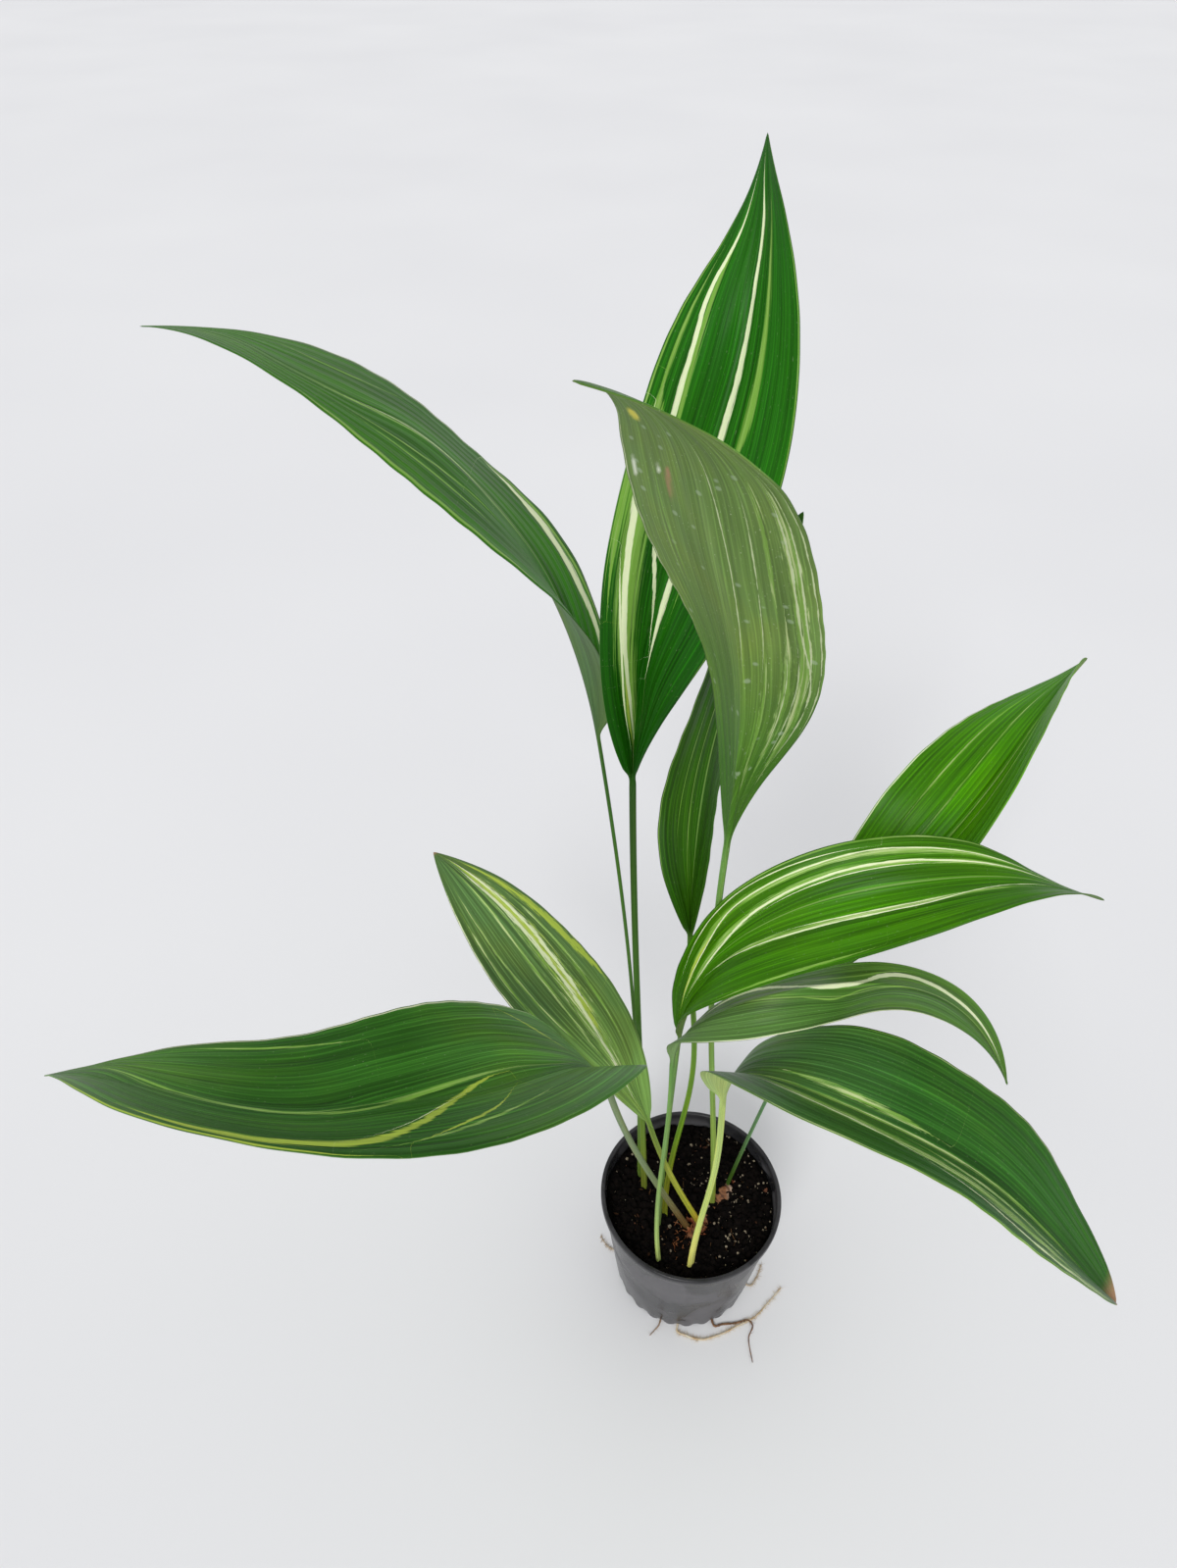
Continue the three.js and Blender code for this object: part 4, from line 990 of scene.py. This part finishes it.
def makeSheathFinish():
    # Dried scale leaves: papery, ribbed lengthwise, rust at the foot and straw at the torn lip
    material, add, shader = newFinish("sheathPaperyDry", IOR=1.4, Roughness=0.66,
                                      Subsurface_Weight=0.1, Subsurface_Scale=0.001)
    wrap = add("Attribute", attribute_name="wrap", out="Vector")
    mapped = add("Mapping", {"Vector": wrap, "Scale": (3.0, 0.12, 1)})
    ribs = add("TexNoise", {"Vector": mapped, "Scale": 1.0, "Detail": 3.0})
    height = add("SeparateXYZ", (wrap,), out=1)
    straw = add("MapRange", (height, 0.0, 9.0, 0.0, 0.8))
    dark = add("MapRange", (ribs, 0.35, 0.65, 0.5, 0.0))
    skin = linear("#8a3f20")
    for share, colour in ((straw, "#cf9566"), (dark, "#52290f")):
        skin = add("Mix", {0: share, 6: skin, 7: linear(colour)}, **onColours)
    bump = add("Bump", {"Strength": 0.6, "Distance": 0.0004, "Height": ribs})
    feed(shader, Base_Color=skin, Normal=bump)
    return material


# Torn scale leaves left on the rhizome: stalk they hug, height, where they begin and how far
# round they reach (radians), and how wide they stand off
sheathsBuild = dict(across=26, rise=9, buried=2, thickness=0.3, scales=[
    ("leaf_left_low", 8, 3.4, 3.4, 1.0), ("leaf_left_low", 5, 5.8, 2.6, 1.8),
    ("leaf_left_short", 7, 0.6, 3.0, 0.9), ("leaf_left_short", 4.5, 3.0, 2.4, 1.9),
    ("leaf_left_short", 10, 4.6, 1.6, 0.6), ("leaf_right_back", 4, 3.2, 2.4, 1.6),
    ("leaf_right_back", 3, 5.4, 2.0, 2.2)])


def makeSheaths(material):
    b = sheathsBuild
    bm = bmesh.new()
    layer = bm.verts.layers.float_vector.new("wrap")
    for number, (name, tall, begin, sweep, gap) in enumerate(b["scales"]):
        leaf = leaves[name]
        foot = np.array([*leaf["foot"], soilBuild["height"]], float)
        along = direction(leaf["stalk"][1], leaf["stalk"][2])
        side = unit(np.cross([0, 1, 0.2], along))
        up = np.cross(along, side)
        inner = leafBuild["stalkFoot"] * leaf["girth"] + gap
        for vert in bmesh.ops.create_grid(bm, x_segments=b["across"], y_segments=b["rise"],
                                          size=0.5)["verts"]:
            a, h = vert.co.x + 0.5, vert.co.y + 0.5
            ragged = (1 - 0.5 * (2 * a - 1) ** 2 - 0.3 * abs(math.sin(11 * a + number))
                      - 0.1 * math.sin(31 * a + number))
            height = -b["buried"] + (tall + b["buried"]) * h * max(ragged, 0.12)
            flare = inner + (0.6 + 0.5 * gap) * h * h + 0.3 * math.sin(12 * a + 3 * h)
            angle = begin + sweep * a
            outward = side * math.cos(angle) + up * math.sin(angle)
            vert[layer] = (angle * inner + 20 * number, max(height, 0), number)
            vert.co = Vector((foot + along * height + outward * flare) * mm)
    piece = toPiece(bm, "sheathScales", material)
    thicken = piece.modifiers.new("thickness", "SOLIDIFY")
    thicken.thickness, thicken.offset = b["thickness"] * mm, 0


makeRhizome(makeRhizomeFinish())
makeRoots(makeRootsFinish())
makeSheaths(makeSheathFinish())
print("rhizome: stock, roots and papery sheaths")


# studio: pale floor, soft light, camera

# lengths here are in metres, angles in degrees; the lens is the one whose field of view fits the
# pot's rim and foot outlines, 1100 pixels long for a frame 1599 high
studio = dict(floorHalf=9.0, floorTones=("#dfdfe1", "#e9e9ea"), sky="#f5f6f8", skyStrength=0.78,
              keyStrength=1.55, keyAngle=22, keyTurn=(50, 0, -18), eye=(-0.074, -0.380, 0.852),
              lookDown=42.2, sensor=36, focal=1100 / 1599, reach=60)


def makeFloor():
    # Matte paper floor: pale, very slightly uneven so that it isn't a flat colour
    material, add, shader = newFinish("floorMattePaper", Roughness=0.62)
    soft = add("TexNoise", {"Vector": add("TexCoord", out="Object"), "Scale": 1.3, "Detail": 2.0})
    dark, light = (linear(tone) for tone in studio["floorTones"])
    feed(shader, Base_Color=add("Mix", {0: soft, 6: dark, 7: light}, **onColours))
    bm = bmesh.new()
    bmesh.ops.create_grid(bm, x_segments=2, y_segments=2, size=studio["floorHalf"])
    floor = toObject(bm, "floor")
    floor.data.materials.append(material)


def makeLight():
    world = bpy.data.worlds.new("softStudio")
    scene.world = world
    world.use_nodes = True
    background = world.node_tree.nodes["Background"]
    background.inputs[0].default_value = linear(studio["sky"])
    background.inputs[1].default_value = studio["skyStrength"]
    sun = bpy.data.lights.new("keyLight", "SUN")
    sun.energy, sun.angle = studio["keyStrength"], math.radians(studio["keyAngle"])
    key = bpy.data.objects.new("keyLight", sun)
    key.rotation_euler = [math.radians(turn) for turn in studio["keyTurn"]]
    scene.collection.objects.link(key)


def makeCamera():  # the photograph's eye: looks down, level, along +Y
    data = bpy.data.cameras.new("photoCamera")
    data.sensor_width = studio["sensor"]
    data.lens = studio["sensor"] * studio["focal"]
    data.clip_end = studio["reach"]
    camera = bpy.data.objects.new("photoCamera", data)
    camera.location = studio["eye"]
    camera.rotation_euler = (math.radians(90 - studio["lookDown"]), 0, 0)
    scene.collection.objects.link(camera)
    scene.camera = camera


makeFloor()
makeLight()
makeCamera()
scene.view_settings.view_transform = "Standard"
print("studio: floor, light and camera")

bpy.context.view_layer.update()
